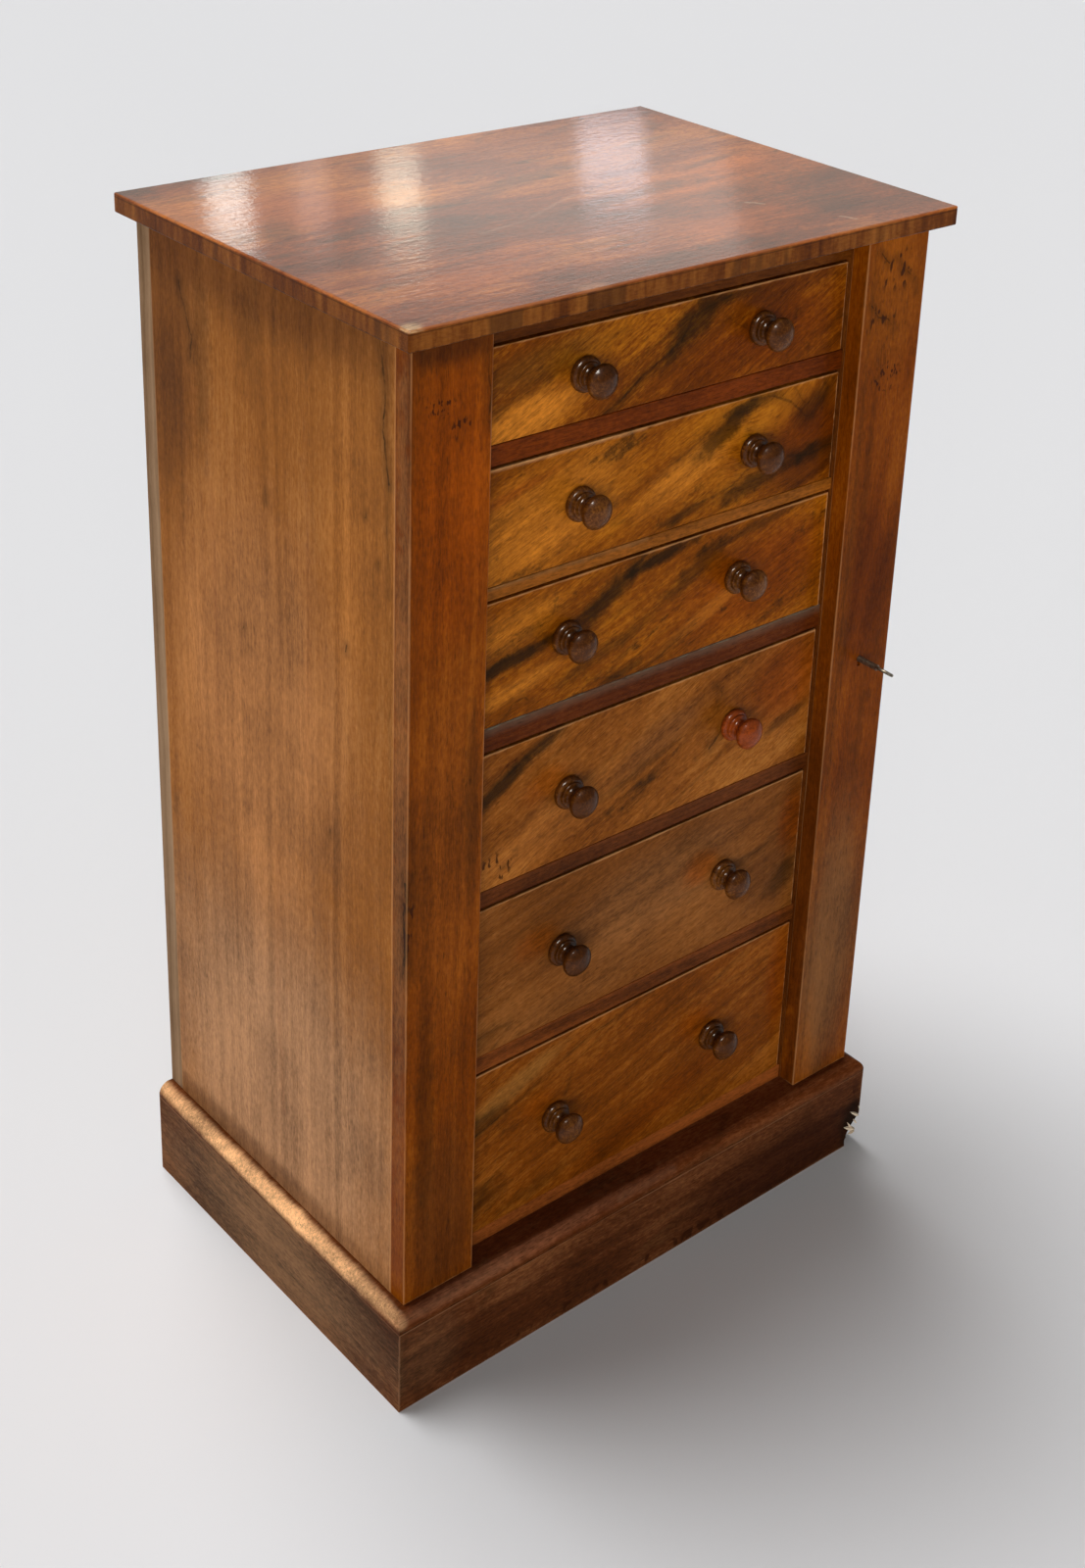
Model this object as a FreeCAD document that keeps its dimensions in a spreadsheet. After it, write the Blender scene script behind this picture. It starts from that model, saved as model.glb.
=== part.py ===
import FreeCAD, Part
import Sketcher
import os
import re

# Wellington chest: six graduated drawers between a fixed pilaster and a hinged locking stile.
# X runs to the right as one faces the drawers, Y to the back and Z up, in millimetres.
# The origin is on the floor under the middle of the whole chest.

# Driving sizes: name, millimetres or degrees, meaning
SIZE_ROWS = (
    ("chest_height", 1060, "floor to the top of the chest"),
    ("opening_width", 426, "clear width between the pilaster and the stile"),
    ("pilaster_width", 79, "face width of the pilaster and of the stile"),
    ("pilaster_thick", 20.5, "how far the pilaster stands in front of the drawer faces"),
    ("carcase_depth", 409, "pilaster face to the back of the carcase"),
    ("arris_radius", 0.9, "worn roundness of the boards' edges"),
    ("plinth_height", 107, "floor to the ledge that the carcase stands on"),
    ("plinth_overhang", 15.5, "how far the plinth stands out at the sides and the front"),
    ("plinth_board_thick", 18, "thickness of the plinth boards"),
    ("plinth_block_width", 30, "side of a corner block inside the plinth"),
    ("plinth_block_gap", 4, "how far a corner block stays above the floor"),
    ("moulding_height", 15, "thickness of the moulded base frame"),
    ("moulding_width", 60, "width of a member of the base frame"),
    ("moulding_round", 10.5, "depth of the rounded edge of the base frame"),
    ("bottom_rail_height", 16, "height of the rail under the lowest drawer"),
    ("rail_height_5", 18.3, "rail between drawers 5 and 6"),
    ("rail_height_4", 17.2, "rail between drawers 4 and 5"),
    ("rail_height_3", 23.5, "rail between drawers 3 and 4"),
    ("rail_height_2", 12.3, "rail between drawers 2 and 3"),
    ("rail_height_1", 18.8, "rail between drawers 1 and 2"),
    ("top_rail_height", 26, "rail between the top drawer and the slab"),
    ("slab_thick", 18, "thickness of the top board"),
    ("slab_side_overhang", 15.5, "top board beyond the carcase at each side"),
    ("slab_front_overhang", 18, "top board in front of the pilasters"),
    ("slab_back_overhang", 10, "top board behind the carcase"),
    ("slab_arris_radius", 1.6, "worn roundness of the top board's edges"),
    ("side_thick", 18, "thickness of the side panels"),
    ("back_frame_thick", 21, "thickness of the framed back"),
    ("back_member_width", 60, "width of the back frame's stiles and rails"),
    ("back_panel_thick", 8, "thickness of the two back panels"),
    ("back_groove_depth", 7, "how far the back panels enter their frame"),
    ("rail_depth", 45, "front to back size of the rails and posts"),
    ("rail_setback", 0.8, "rail faces behind the drawer faces"),
    ("tenon_length", 14, "how far a rail's tenon enters a post"),
    ("tenon_shoulder", 3, "rail left above and below its tenon"),
    ("tenon_cheek", 10, "rail left in front of and behind its tenon"),
    ("runner_thick", 12, "thickness of a drawer runner"),
    ("runner_reach", 22, "how far a runner reaches into the opening"),
    ("guide_height", 14, "height of a drawer guide"),
    ("dustboard_thick", 6, "thickness of a dustboard"),
    ("dustboard_tongue", 5, "how far a dustboard enters its groove"),
    ("stop_length", 30, "length of a drawer stop"),
    ("stop_width", 12, "front to back size of a drawer stop"),
    ("stop_height", 5, "height of a drawer stop"),
    ("stop_spread", 240, "distance between the two stops of a drawer"),
    ("stop_gap", 0.3, "drawer front to its stops"),
    ("drawer_left_gap", 1, "drawer to the pilaster and the left guide"),
    ("drawer_right_gap", 4.2, "drawer front to the stile's inner edge"),
    ("drawer_guide_gap", 1, "drawer side to the right guide"),
    ("drawer_top_gap", 2.4, "drawer front to the rail above"),
    ("drawer_foot_gap", 0.8, "drawer front to the rail below"),
    ("drawer_run_gap", 0.3, "drawer sides above their runners"),
    ("drawer_back_space", 10, "drawer to the framed back"),
    ("front_thick", 20, "thickness of a drawer front"),
    ("front_lap", 5, "drawer front left in front of the dovetails"),
    ("lining_thick", 9, "thickness of the drawer sides and backs"),
    ("side_drop", 3, "drawer sides below the top of the front"),
    ("back_drop", 6, "drawer back below the top of the sides"),
    ("back_housing", 3, "how far a drawer back enters the sides"),
    ("bottom_thick", 6, "thickness of a drawer bottom"),
    ("bottom_lift", 8, "drawer sides left under the bottom"),
    ("bottom_tongue", 4, "how far a drawer bottom enters its groove"),
    ("tail_pitch", 36, "wanted height of a dovetail and its gap"),
    ("slip_width", 5, "width of the slip let into the end of drawer front 3"),
    ("knob_radius", 16, "largest radius of a drawer knob"),
    ("knob_reach", 33, "how far a knob stands out of its drawer"),
    ("knob_tenon_radius", 5.5, "radius of the knob's turned tenon"),
    ("knob_spacing", 204, "distance between a drawer's knobs"),
    ("knob_rise", 0.5, "knobs above the middle of the front"),
    ("knob_shift_3", -9, "sideways place of the knobs of drawer 3"),
    ("knob_rise_3", 4, "knobs of drawer 3 above the middle of the front"),
    ("stile_gap", 0.5, "stile to the carcase behind it"),
    ("stile_end_gap", 1.2, "stile to the slab and to the ledge"),
    ("hinge_length", 50, "length of a butt hinge"),
    ("hinge_inset", 110, "end of the stile to the nearer end of its hinge"),
    ("leaf_width", 15, "hinge leaf over the wood"),
    ("leaf_thick", 1.6, "thickness of a hinge leaf"),
    ("knuckle_radius", 3, "radius of the hinge knuckle"),
    ("knuckle_gap", 0.4, "hinge knuckle to the side of the chest"),
    ("knuckle_end_gap", 0.2, "gap between two knuckles"),
    ("pin_radius", 1.3, "radius of a hinge pin"),
    ("pin_clearance", 0.06, "radial play of a hinge pin"),
    ("pin_head_radius", 2.2, "radius of a hinge pin's head"),
    ("pin_head_height", 1.2, "height of a hinge pin's head"),
    ("lock_height", 605, "key's axis above the floor"),
    ("case_width", 44, "width of the lock case"),
    ("case_below", 20, "lock case below the key's axis"),
    ("case_above", 32, "lock case above the key's axis"),
    ("case_depth", 11, "depth of the lock case"),
    ("case_wall", 1.2, "plate of the lock case"),
    ("bolt_length", 22, "length of the bolt"),
    ("bolt_height", 9, "height of the bolt"),
    ("bolt_thick", 4, "thickness of the bolt"),
    ("bolt_rise", 14, "middle of the bolt above the key's axis"),
    ("bolt_nose", 4, "tip of the drawn bolt beyond the key's axis"),
    ("bolt_clearance", 0.3, "play between the bolt and the case"),
    ("staple_thick", 2.5, "thickness of the staple"),
    ("staple_height", 16, "height of the staple"),
    ("staple_reach", 9, "how far the staple enters the lock case"),
    ("staple_gap", 1.5, "drawn bolt to the staple"),
    ("staple_play", 1.6, "staple to its slot in the lock case"),
    ("staple_plate_width", 22, "width of the staple's plate"),
    ("staple_plate_height", 40, "height of the staple's plate"),
    ("eye_play", 0.7, "bolt to the eye of the staple"),
    ("shank_radius", 3, "radius of the key's shank"),
    ("key_clearance", 0.4, "play of the key in its hole"),
    ("key_reach", 43, "how far the key stands out of the stile"),
    ("bow_radius", 8.6, "middle radius of the key's ring"),
    ("bow_wire_radius", 1.6, "radius of the ring's wire"),
    ("bit_radius", 7, "reach of the key's bit from its axis"),
    ("bit_width", 2.4, "width of the key's bit"),
    ("bit_depth", 2.4, "front to back size of the key's bit"),
    ("key_rest_angle", 55, "how far the bow leans from upright, in degrees"),
)

# Shares of the height left for the openings, from the top drawer down; together they make one
OPENING_SHARES = (0.1086, 0.1355, 0.1507, 0.1749, 0.2006, 0.2297)
DRAWERS = tuple(range(1, len(OPENING_SHARES) + 1))
RAIL_HEIGHTS = " - ".join(f"rail_height_{number}" for number in DRAWERS[:-1])
KNUCKLE_COUNT = 5

# Derived places: name, formula, meaning
PLACE_ROWS = [
    ("half_width", "opening_width / 2 + pilaster_width", "middle of the chest to the side's face"),
    ("opening_right", "opening_width / 2", "inner edge of the stile"),
    ("opening_left", "-opening_right", "inner edge of the pilaster"),
    ("inner_right", "half_width - side_thick", "inner face of the right side"),
    ("inner_left", "-inner_right", "inner face of the left side"),
    ("face_y", "key_reach - (key_reach + carcase_depth + slab_back_overhang) / 2", "pilaster face"),
    ("front_y", "face_y + pilaster_thick", "plane of the drawer faces"),
    ("back_y", "face_y + carcase_depth", "back of the carcase"),
    ("back_inner_y", "back_y - back_frame_thick", "inside of the framed back"),
    ("rail_back_y", "front_y + rail_depth", "back of the rails and posts"),
    ("drawer_back_y", "back_inner_y - drawer_back_space", "back end of the drawers"),
    ("plinth_half_width", "half_width + plinth_overhang", "middle to the plinth's face"),
    ("plinth_front_y", "face_y - plinth_overhang", "front of the plinth"),
    ("moulding_foot", "plinth_height - moulding_height", "underside of the base frame"),
    ("opening_floor_6", "plinth_height + bottom_rail_height", "floor of the lowest opening"),
    ("openings_height", f"chest_height - slab_thick - top_rail_height - {RAIL_HEIGHTS} - opening_floor_6",
     "height left for the openings"),
]
for number in reversed(DRAWERS):
    PLACE_ROWS.append((
        f"opening_height_{number}", f"openings_height * {OPENING_SHARES[number - 1]}", "height of an opening"))
    PLACE_ROWS.append((
        f"opening_top_{number}", f"opening_floor_{number} + opening_height_{number}", "top of an opening"))
    if number > 1:
        PLACE_ROWS.append((
            f"opening_floor_{number - 1}", f"opening_top_{number} + rail_height_{number - 1}",
            "floor of the next opening"))
PLACE_ROWS += [
    ("slab_foot", "chest_height - slab_thick", "underside of the top board"),
    ("drawer_left", "opening_left + drawer_left_gap", "left end of the drawers"),
    ("drawer_right", "opening_right - drawer_right_gap", "right end of the drawers"),
    ("guide_right", "drawer_right + drawer_guide_gap", "face of the right guides"),
    ("front_back_y", "front_y + front_thick", "inside of the drawer fronts"),
    ("tail_length", "front_thick - front_lap", "length of the dovetails"),
    ("stile_back_y", "front_y - stile_gap", "back of the stile"),
    ("hinge_axis_x", "half_width + knuckle_radius + knuckle_gap", "axis of the hinges"),
    ("hinge_axis_y", "front_y - stile_gap / 2", "axis of the hinges"),
    ("key_axis_x", "half_width - pilaster_width / 2", "axis of the key"),
    ("case_inner_y", "stile_back_y - case_wall", "inside of the lock's back plate"),
    ("bolt_back_y", "case_inner_y - bolt_clearance", "back face of the bolt"),
    ("bolt_front_y", "bolt_back_y - bolt_thick", "front face of the bolt"),
    ("bolt_tip_x", "key_axis_x - bolt_nose", "tip of the drawn bolt"),
    ("bolt_middle_z", "lock_height + bolt_rise", "middle of the bolt"),
    ("staple_right", "bolt_tip_x - staple_gap", "right face of the staple"),
    ("staple_left", "staple_right - staple_thick", "left face of the staple"),
    ("bit_front_y", "stile_back_y - case_depth + case_wall + bolt_clearance", "front of the bit"),
]

# Share of the pitch that a dovetail's wide end takes, and how fast its sides close in
TAIL_WIDTH_SHARE = 0.66
TAIL_SLOPE_SHARE = 0.16
# Key's slot below the key's hole: shares of the bit
SLOT_LENGTH_SHARE = 1.15
SLOT_WIDTH_SHARE = 1.5
# Height of the base frame's rounded edge at the middle of its arc, and the depth there
ROUND_MIDDLE_DEPTH_SHARE = 0.293
ROUND_MIDDLE_HEIGHT_SHARE = 0.707

# Numbers by which a sketch knows the two ends of a line or an arc
FIRST_END, SECOND_END = range(1, 3)

# Half outline of a knob, from the drawer's face out: shares of its radius and of its reach.
# A row of four is an arc, with its middle point before its end point.
KNOB_OUTLINE_SHARES = (
    (0.860, 0.000),
    (1.000, 0.105, 0.850, 0.215),
    (0.740, 0.225),
    (0.785, 0.262, 0.720, 0.305),
    (0.560, 0.320),
    (0.480, 0.415, 0.560, 0.500),
    (0.760, 0.560, 0.930, 0.660),
    (0.975, 0.735, 0.925, 0.815),
    (0.520, 0.955, 0.070, 1.000),
    (0.000, 1.000),
)

doc = FreeCAD.newDocument("wellington_chest")
size_names = {row[0] for row in SIZE_ROWS}
place_names = {row[0] for row in PLACE_ROWS}
nodes = {}


def linked(text, own_sheet=""):
    """Return an expression with each size and place led by the name of its sheet."""
    def led(match):
        word = match.group(0)
        if word in size_names:
            return "Sizes." + word
        if word in place_names and own_sheet != "Places":
            return "Places." + word
        return word
    return re.sub(r"[a-z][a-z_0-9]*", led, text)


def fill_sheet(name, rows, prefix):
    """Make a spreadsheet with a name, a value and a meaning in each row."""
    sheet = doc.addObject("Spreadsheet::Sheet", name)
    for row, (alias, value, meaning) in enumerate(rows, start=1):
        sheet.set(f"A{row}", alias)
        sheet.set(f"B{row}", prefix + linked(str(value), own_sheet=name))
        sheet.set(f"C{row}", meaning)
        sheet.setAlias(f"B{row}", alias)
    doc.recompute()
    return sheet


def bind(piece, **expressions):
    """Bind properties to expressions; two underscores stand for a dot."""
    for name, text in expressions.items():
        piece.setExpression(name.replace("__", "."), linked(text))


def place(piece, x_text, y_text, z_text):
    """Bind the place of a piece to three expressions."""
    bind(piece, Placement__Base__x=x_text, Placement__Base__y=y_text, Placement__Base__z=z_text)


def value_of(text):
    """Return the number that an expression stands for."""
    return float(sizes.evalExpression(linked(text)))


def extent(span):
    """Return the length of a span of two expressions."""
    return f"({span[1]}) - ({span[0]})"


def box(name, x_span, y_span, z_span):
    """Add a plain block between two planes along each axis."""
    piece = doc.addObject("Part::Box", name)
    bind(piece, Length=extent(x_span), Width=extent(y_span), Height=extent(z_span))
    place(piece, x_span[0], y_span[0], z_span[0])
    return piece


def board(name, x_span, y_span, z_span, radius="arris_radius"):
    """Add a board whose edges are all slightly rounded."""
    body = doc.addObject("PartDesign::Body", name)
    blank = body.newObject("PartDesign::AdditiveBox", name + "_blank")
    bind(blank, Length=extent(x_span), Width=extent(y_span), Height=extent(z_span))
    doc.recompute()
    rounding = body.newObject("PartDesign::Fillet", name + "_arrises")
    rounding.Base = (blank, ["Edge1"])
    rounding.UseAllEdges = True
    bind(rounding, Radius=radius)
    place(body, x_span[0], y_span[0], z_span[0])
    body.Tip = rounding
    return body


def cylinder_along_z(name, x_text, y_text, z_span, radius):
    """Add an upright cylinder."""
    piece = doc.addObject("Part::Cylinder", name)
    bind(piece, Radius=radius, Height=extent(z_span))
    place(piece, x_text, y_text, z_span[0])
    return piece


def cylinder_along_y(name, x_text, y_span, z_text, radius):
    """Add a cylinder that runs from front to back."""
    piece = doc.addObject("Part::Cylinder", name)
    piece.Placement.Rotation = FreeCAD.Rotation(FreeCAD.Vector(1, 0, 0), -90)
    bind(piece, Radius=radius, Height=extent(y_span))
    place(piece, x_text, y_span[0], z_text)
    return piece


def group(name, pieces):
    """Gather pieces, each still a solid of its own."""
    gathered = doc.addObject("Part::Compound", name)
    gathered.Links = list(pieces)
    return gathered


def fuse(name, pieces):
    """Join pieces into one solid."""
    joined = doc.addObject("Part::MultiFuse", name)
    joined.Shapes = list(pieces)
    joined.Refine = True
    return joined


def common(name, first, second):
    """Keep what two pieces share."""
    shared = doc.addObject("Part::MultiCommon", name)
    shared.Shapes = [first, second]
    return shared


def cut(name, base, tools):
    """Take every tool away from the base."""
    remainder = doc.addObject("Part::Cut", name)
    remainder.Base = base
    remainder.Tool = tools[0] if len(tools) == 1 else group(name + "_tools", tools)
    return remainder


def node(label, piece):
    """Give a finished piece the label that names its file."""
    piece.Label = label
    nodes[label] = piece
    return piece


def middle(span):
    """Return the expression for the middle of a span."""
    return f"(({span[0]}) + ({span[1]})) / 2"


def body_plane(body, role):
    """Return one of a body's own origin planes."""
    for feature in body.Origin.OriginFeatures:
        if feature.Role == role:
            return feature
    raise ValueError(role)


def outline_sketch(body, role, steps):
    """Draw a closed outline of lines and arcs, each point bound to its two expressions."""
    sketch = body.newObject("Sketcher::SketchObject", body.Name + "_outline")
    sketch.AttachmentSupport = (body_plane(body, role), [""])
    sketch.MapMode = "FlatFace"

    def bind_point(geometry, position, point):
        for kind, text in zip(("DistanceX", "DistanceY"), point):
            index = sketch.addConstraint(
                Sketcher.Constraint(kind, -1, FIRST_END, geometry, position, value_of(text)))
            sketch.setExpression(f"Constraints[{index}]", linked(text))

    points = [step[-2:] for step in steps]
    vectors = [FreeCAD.Vector(value_of(u), value_of(v), 0) for u, v in points]
    pieces = []
    for index, step in enumerate(steps):
        start = vectors[index - 1]
        end = vectors[index]
        if len(step) == 2:
            geometry = sketch.addGeometry(Part.LineSegment(start, end), False)
            ends = (FIRST_END, SECOND_END)
        else:
            through = FreeCAD.Vector(value_of(step[0]), value_of(step[1]), 0)
            geometry = sketch.addGeometry(Part.Arc(start, through, end), False)
            first = sketch.getPoint(geometry, FIRST_END)
            forward = first.distanceToPoint(start) < first.distanceToPoint(end)
            ends = (FIRST_END, SECOND_END) if forward else (SECOND_END, FIRST_END)
            mark = sketch.addGeometry(Part.Point(through), True)
            bind_point(mark, FIRST_END, step[:2])
            sketch.addConstraint(Sketcher.Constraint("PointOnObject", mark, FIRST_END, geometry))
        pieces.append((geometry, ends))
    for index, (geometry, ends) in enumerate(pieces):
        before, before_ends = pieces[index - 1]
        sketch.addConstraint(
            Sketcher.Constraint("Coincident", before, before_ends[1], geometry, ends[0]))
        bind_point(geometry, ends[1], points[index])
    return sketch


def mitred_board(name, length, thick, height, cut_start, cut_end, turn, corner):
    """Add a board along its own X whose chosen ends are cut at 45 degrees inwards."""
    piece = doc.addObject("Part::Wedge", name)
    for side in ("Xmin", "Ymin", "Zmin", "Z2min"):
        setattr(piece, side, 0)
    bind(piece, Xmax=length, Ymax=thick, Zmax=height, Z2max=height)
    bind(piece, X2min=thick if cut_start else "0")
    bind(piece, X2max=f"({length}) - ({thick})" if cut_end else length)
    piece.Placement.Rotation = FreeCAD.Rotation(FreeCAD.Vector(0, 0, 1), turn)
    place(piece, *corner)
    return piece


def mitred_frame(name, thick, height, foot, shaped=None):
    """Add the front, left and right members of a frame round the foot of the chest."""
    width = "2 * plinth_half_width"
    depth = "back_y - plinth_front_y"
    members = (
        ("front", width, True, True, 0, ("-plinth_half_width", "plinth_front_y", foot)),
        ("left", depth, False, True, -90, ("-plinth_half_width", "back_y", foot)),
        ("right", depth, True, False, 90, ("plinth_half_width", "plinth_front_y", foot)),
    )
    made = []
    for side, length, cut_start, cut_end, turn, corner in members:
        label = f"{name}_{side}"
        member = mitred_board(label + "_blank", length, thick, height, cut_start, cut_end, turn, corner)
        if shaped:
            member = common(label + "_shaped", shaped(label, length, turn, corner), member)
        made.append(member)
    return made


def moulding_length(name, length, turn, corner):
    """Add a straight length of the base frame's section, with its rounded upper edge."""
    body = doc.addObject("PartDesign::Body", name + "_section")
    round_middle = (
        f"moulding_round * {ROUND_MIDDLE_DEPTH_SHARE}", f"moulding_height * {ROUND_MIDDLE_HEIGHT_SHARE}")
    steps = (
        ("0", "0"),
        round_middle + ("moulding_round", "moulding_height"),
        ("moulding_width", "moulding_height"),
        ("moulding_width", "0"),
    )
    sketch = outline_sketch(body, "YZ_Plane", steps)
    pad = body.newObject("PartDesign::Pad", name + "_pad")
    pad.Profile = sketch
    bind(pad, Length=length)
    body.Placement.Rotation = FreeCAD.Rotation(FreeCAD.Vector(0, 0, 1), turn)
    place(body, *corner)
    body.Tip = pad
    return body


def build_plinth():
    """Build the plinth boards, their corner blocks and the moulded base frame on them."""
    front, left, right = mitred_frame("plinth", "plinth_board_thick", "moulding_foot", "0")
    node("plinth_front", front)
    node("plinth_sides", group("plinth_side_pair", (left, right)))
    inner = "(plinth_half_width - plinth_board_thick)"
    back_span = ("back_y - plinth_board_thick", "back_y")
    node("plinth_back", box("plinth_back_board", ("-" + inner, inner), back_span, ("0", "moulding_foot")))
    blocks = []
    x_spans = (("-" + inner, f"-{inner} + plinth_block_width"), (f"{inner} - plinth_block_width", inner))
    y_spans = (
        ("plinth_front_y + plinth_board_thick", "plinth_front_y + plinth_board_thick + plinth_block_width"),
        ("back_y - plinth_board_thick - plinth_block_width", "back_y - plinth_board_thick"),
    )
    for x_span in x_spans:
        for y_span in y_spans:
            name = f"corner_block_{len(blocks) + 1}"
            blocks.append(box(name, x_span, y_span, ("plinth_block_gap", "moulding_foot")))
    node("plinth_blocks", group("corner_blocks", blocks))
    members = mitred_frame(
        "moulding", "moulding_width", "moulding_height", "moulding_foot", moulding_length)
    member_inner = "(plinth_half_width - moulding_width)"
    members.append(box(
        "moulding_back", ("-" + member_inner, member_inner), ("back_y - moulding_width", "back_y"),
        ("moulding_foot", "plinth_height")))
    node("base_moulding", group("moulding_members", members))


def build_shell():
    """Build the sides, the pilaster, the framed back and the top board."""
    wall_z = ("plinth_height", "slab_foot")
    side_y = ("front_y", "back_inner_y")
    node("side_left", board("left_panel", ("-half_width", "inner_left"), side_y, wall_z))
    pilaster_x = ("-half_width", "opening_left")
    node("left_pilaster", board("pilaster_board", pilaster_x, ("face_y", "front_y"), wall_z))
    node("top_board", board(
        "slab", ("-half_width - slab_side_overhang", "half_width + slab_side_overhang"),
        ("face_y - slab_front_overhang", "back_y + slab_back_overhang"), ("slab_foot", "chest_height"),
        "slab_arris_radius"))
    back_y = ("back_inner_y", "back_y")
    inside = "(half_width - back_member_width)"
    inside_x = ("-" + inside, inside)
    height = "(slab_foot - plinth_height)"
    rail_z = (
        ("plinth_height", "plinth_height + back_member_width"),
        (f"plinth_height + ({height} - back_member_width) / 2",
         f"plinth_height + ({height} + back_member_width) / 2"),
        ("slab_foot - back_member_width", "slab_foot"),
    )
    panels = []
    panel_x = (f"-{inside} - back_groove_depth", f"{inside} + back_groove_depth")
    panel_y = (
        "(back_inner_y + back_y - back_panel_thick) / 2", "(back_inner_y + back_y + back_panel_thick) / 2")
    for lower, upper in zip(rail_z, rail_z[1:]):
        panel_z = (f"{lower[1]} - back_groove_depth", f"{upper[0]} + back_groove_depth")
        panels.append(box(f"back_panel_{len(panels) + 1}", panel_x, panel_y, panel_z))
    members = [
        board("back_stile_left", ("-half_width", "-" + inside), back_y, wall_z),
        board("back_stile_right", (inside, "half_width"), back_y, wall_z),
    ]
    members += [box(f"back_rail_{index}", inside_x, back_y, z) for index, z in enumerate(rail_z, start=1)]
    grooved = [cut(member.Name + "_grooved", member, panels) for member in members]
    node("back_frame", group("back_members", grooved))
    node("back_panels", group("back_panel_pair", panels))
    return board("right_panel", ("inner_right", "half_width"), side_y, wall_z)


def build_dividers():
    """Build the posts, rails, runners, guides, dustboards and stops between the sides."""
    rail_y = ("front_y + rail_setback", "rail_back_y")
    opening_x = ("opening_left", "opening_right")
    behind_y = ("rail_back_y", "back_inner_y")
    runner_left = ("inner_left", "opening_left + runner_reach")
    runner_right = ("opening_right - runner_reach - drawer_right_gap", "inner_right")
    dustboard_x = (f"{runner_left[1]} - dustboard_tongue", f"{runner_right[0]} + dustboard_tongue")
    rails = {"bottom_rail": ("plinth_height", "opening_floor_6"), "top_rail": ("opening_top_1", "slab_foot")}
    for number in DRAWERS[:-1]:
        rails[f"rail_{number}"] = (f"opening_top_{number + 1}", f"opening_floor_{number}")
    tenon_y = ("front_y + rail_setback + tenon_cheek", "rail_back_y - tenon_cheek")
    tenon_x = ("opening_left - tenon_length", "opening_right + tenon_length")
    tenons = []
    joined = {}
    for name, (foot, top) in rails.items():
        tenon_z = (f"{foot} + tenon_shoulder", f"{top} - tenon_shoulder")
        tenon = box(name + "_tenons", tenon_x, tenon_y, tenon_z)
        tenons.append(tenon)
        joined[name] = fuse(name + "_whole", (board(name + "_board", opening_x, rail_y, (foot, top)), tenon))
    node("bottom_rail", joined["bottom_rail"])
    node("top_rail", joined["top_rail"])
    dividers = []
    runners = []
    dustboards = []
    for number in DRAWERS[:-1]:
        floor = f"opening_floor_{number}"
        runner_z = (f"{floor} - runner_thick", floor)
        low = f"{floor} - (runner_thick + dustboard_thick) / 2"
        dustboard = box(
            f"dustboard_{number}", dustboard_x, ("rail_back_y - dustboard_tongue", "back_inner_y"),
            (low, f"{low} + dustboard_thick"))
        dustboards.append(dustboard)
        dividers.append(cut(f"rail_{number}_grooved", joined[f"rail_{number}"], [dustboard]))
        for side, x_span in (("left", runner_left), ("right", runner_right)):
            strip = box(f"runner_{number}_{side}", x_span, behind_y, runner_z)
            runners.append(cut(strip.Name + "_grooved", strip, [dustboard]))
    for side, x_span in (("left", runner_left), ("right", runner_right)):
        runners.append(box(f"kicker_{side}", x_span, behind_y, ("opening_top_1", "slab_foot")))
    node("drawer_rails", group("divider_rails", dividers))
    node("drawer_runners", group("runner_strips", runners))
    node("dustboards", group("dustboard_panels", dustboards))
    node("bottom_board", box(
        "carcase_bottom", ("inner_left", "inner_right"), behind_y, ("plinth_height", "opening_floor_6")))
    guides = []
    stops = []
    stop_y = ("front_back_y + stop_gap", "front_back_y + stop_gap + stop_width")
    for number in DRAWERS:
        floor = f"opening_floor_{number}"
        guide_z = (floor, f"{floor} + guide_height")
        guides.append(box(f"guide_{number}_left", ("inner_left", "opening_left"), behind_y, guide_z))
        guides.append(box(f"guide_{number}_right", ("guide_right", "inner_right"), behind_y, guide_z))
        for side in (-1, 1):
            centre = f"{side} * stop_spread / 2"
            stops.append(box(
                f"stop_{number}_{side + 1}", (f"{centre} - stop_length / 2", f"{centre} + stop_length / 2"),
                stop_y, (floor, f"{floor} + stop_height")))
    node("drawer_guides", group("guide_strips", guides))
    node("drawer_stops", group("stop_blocks", stops))
    post_y = ("front_y", "rail_back_y")
    wall_z = ("plinth_height", "slab_foot")
    left_post = box("left_post_blank", ("inner_left", "opening_left"), post_y, wall_z)
    node("left_post", cut("left_post_mortised", left_post, tenons))
    return box("right_post_blank", ("opening_right", "inner_right"), post_y, wall_z), tenons


def knob(name, x_text, z_text):
    """Add a turned knob with a moulded foot, a neck, a domed head and a tenon through the front."""
    body = doc.addObject("PartDesign::Body", name)
    steps = [("0", "-front_thick"), ("knob_tenon_radius", "-front_thick"), ("knob_tenon_radius", "0")]
    for shares in KNOB_OUTLINE_SHARES:
        factors = ("knob_radius", "knob_reach") * (len(shares) // 2)
        steps.append(tuple(f"{factor} * {share}" for factor, share in zip(factors, shares)))
    sketch = outline_sketch(body, "XY_Plane", steps)
    turned = body.newObject("PartDesign::Revolution", name + "_turned")
    turned.Profile = sketch
    turned.ReferenceAxis = (sketch, ["V_Axis"])
    turned.Angle = 360
    body.Placement.Rotation = FreeCAD.Rotation(FreeCAD.Vector(0, 0, 1), 180)
    place(body, x_text, "front_y", z_text)
    body.Tip = turned
    return body


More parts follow.
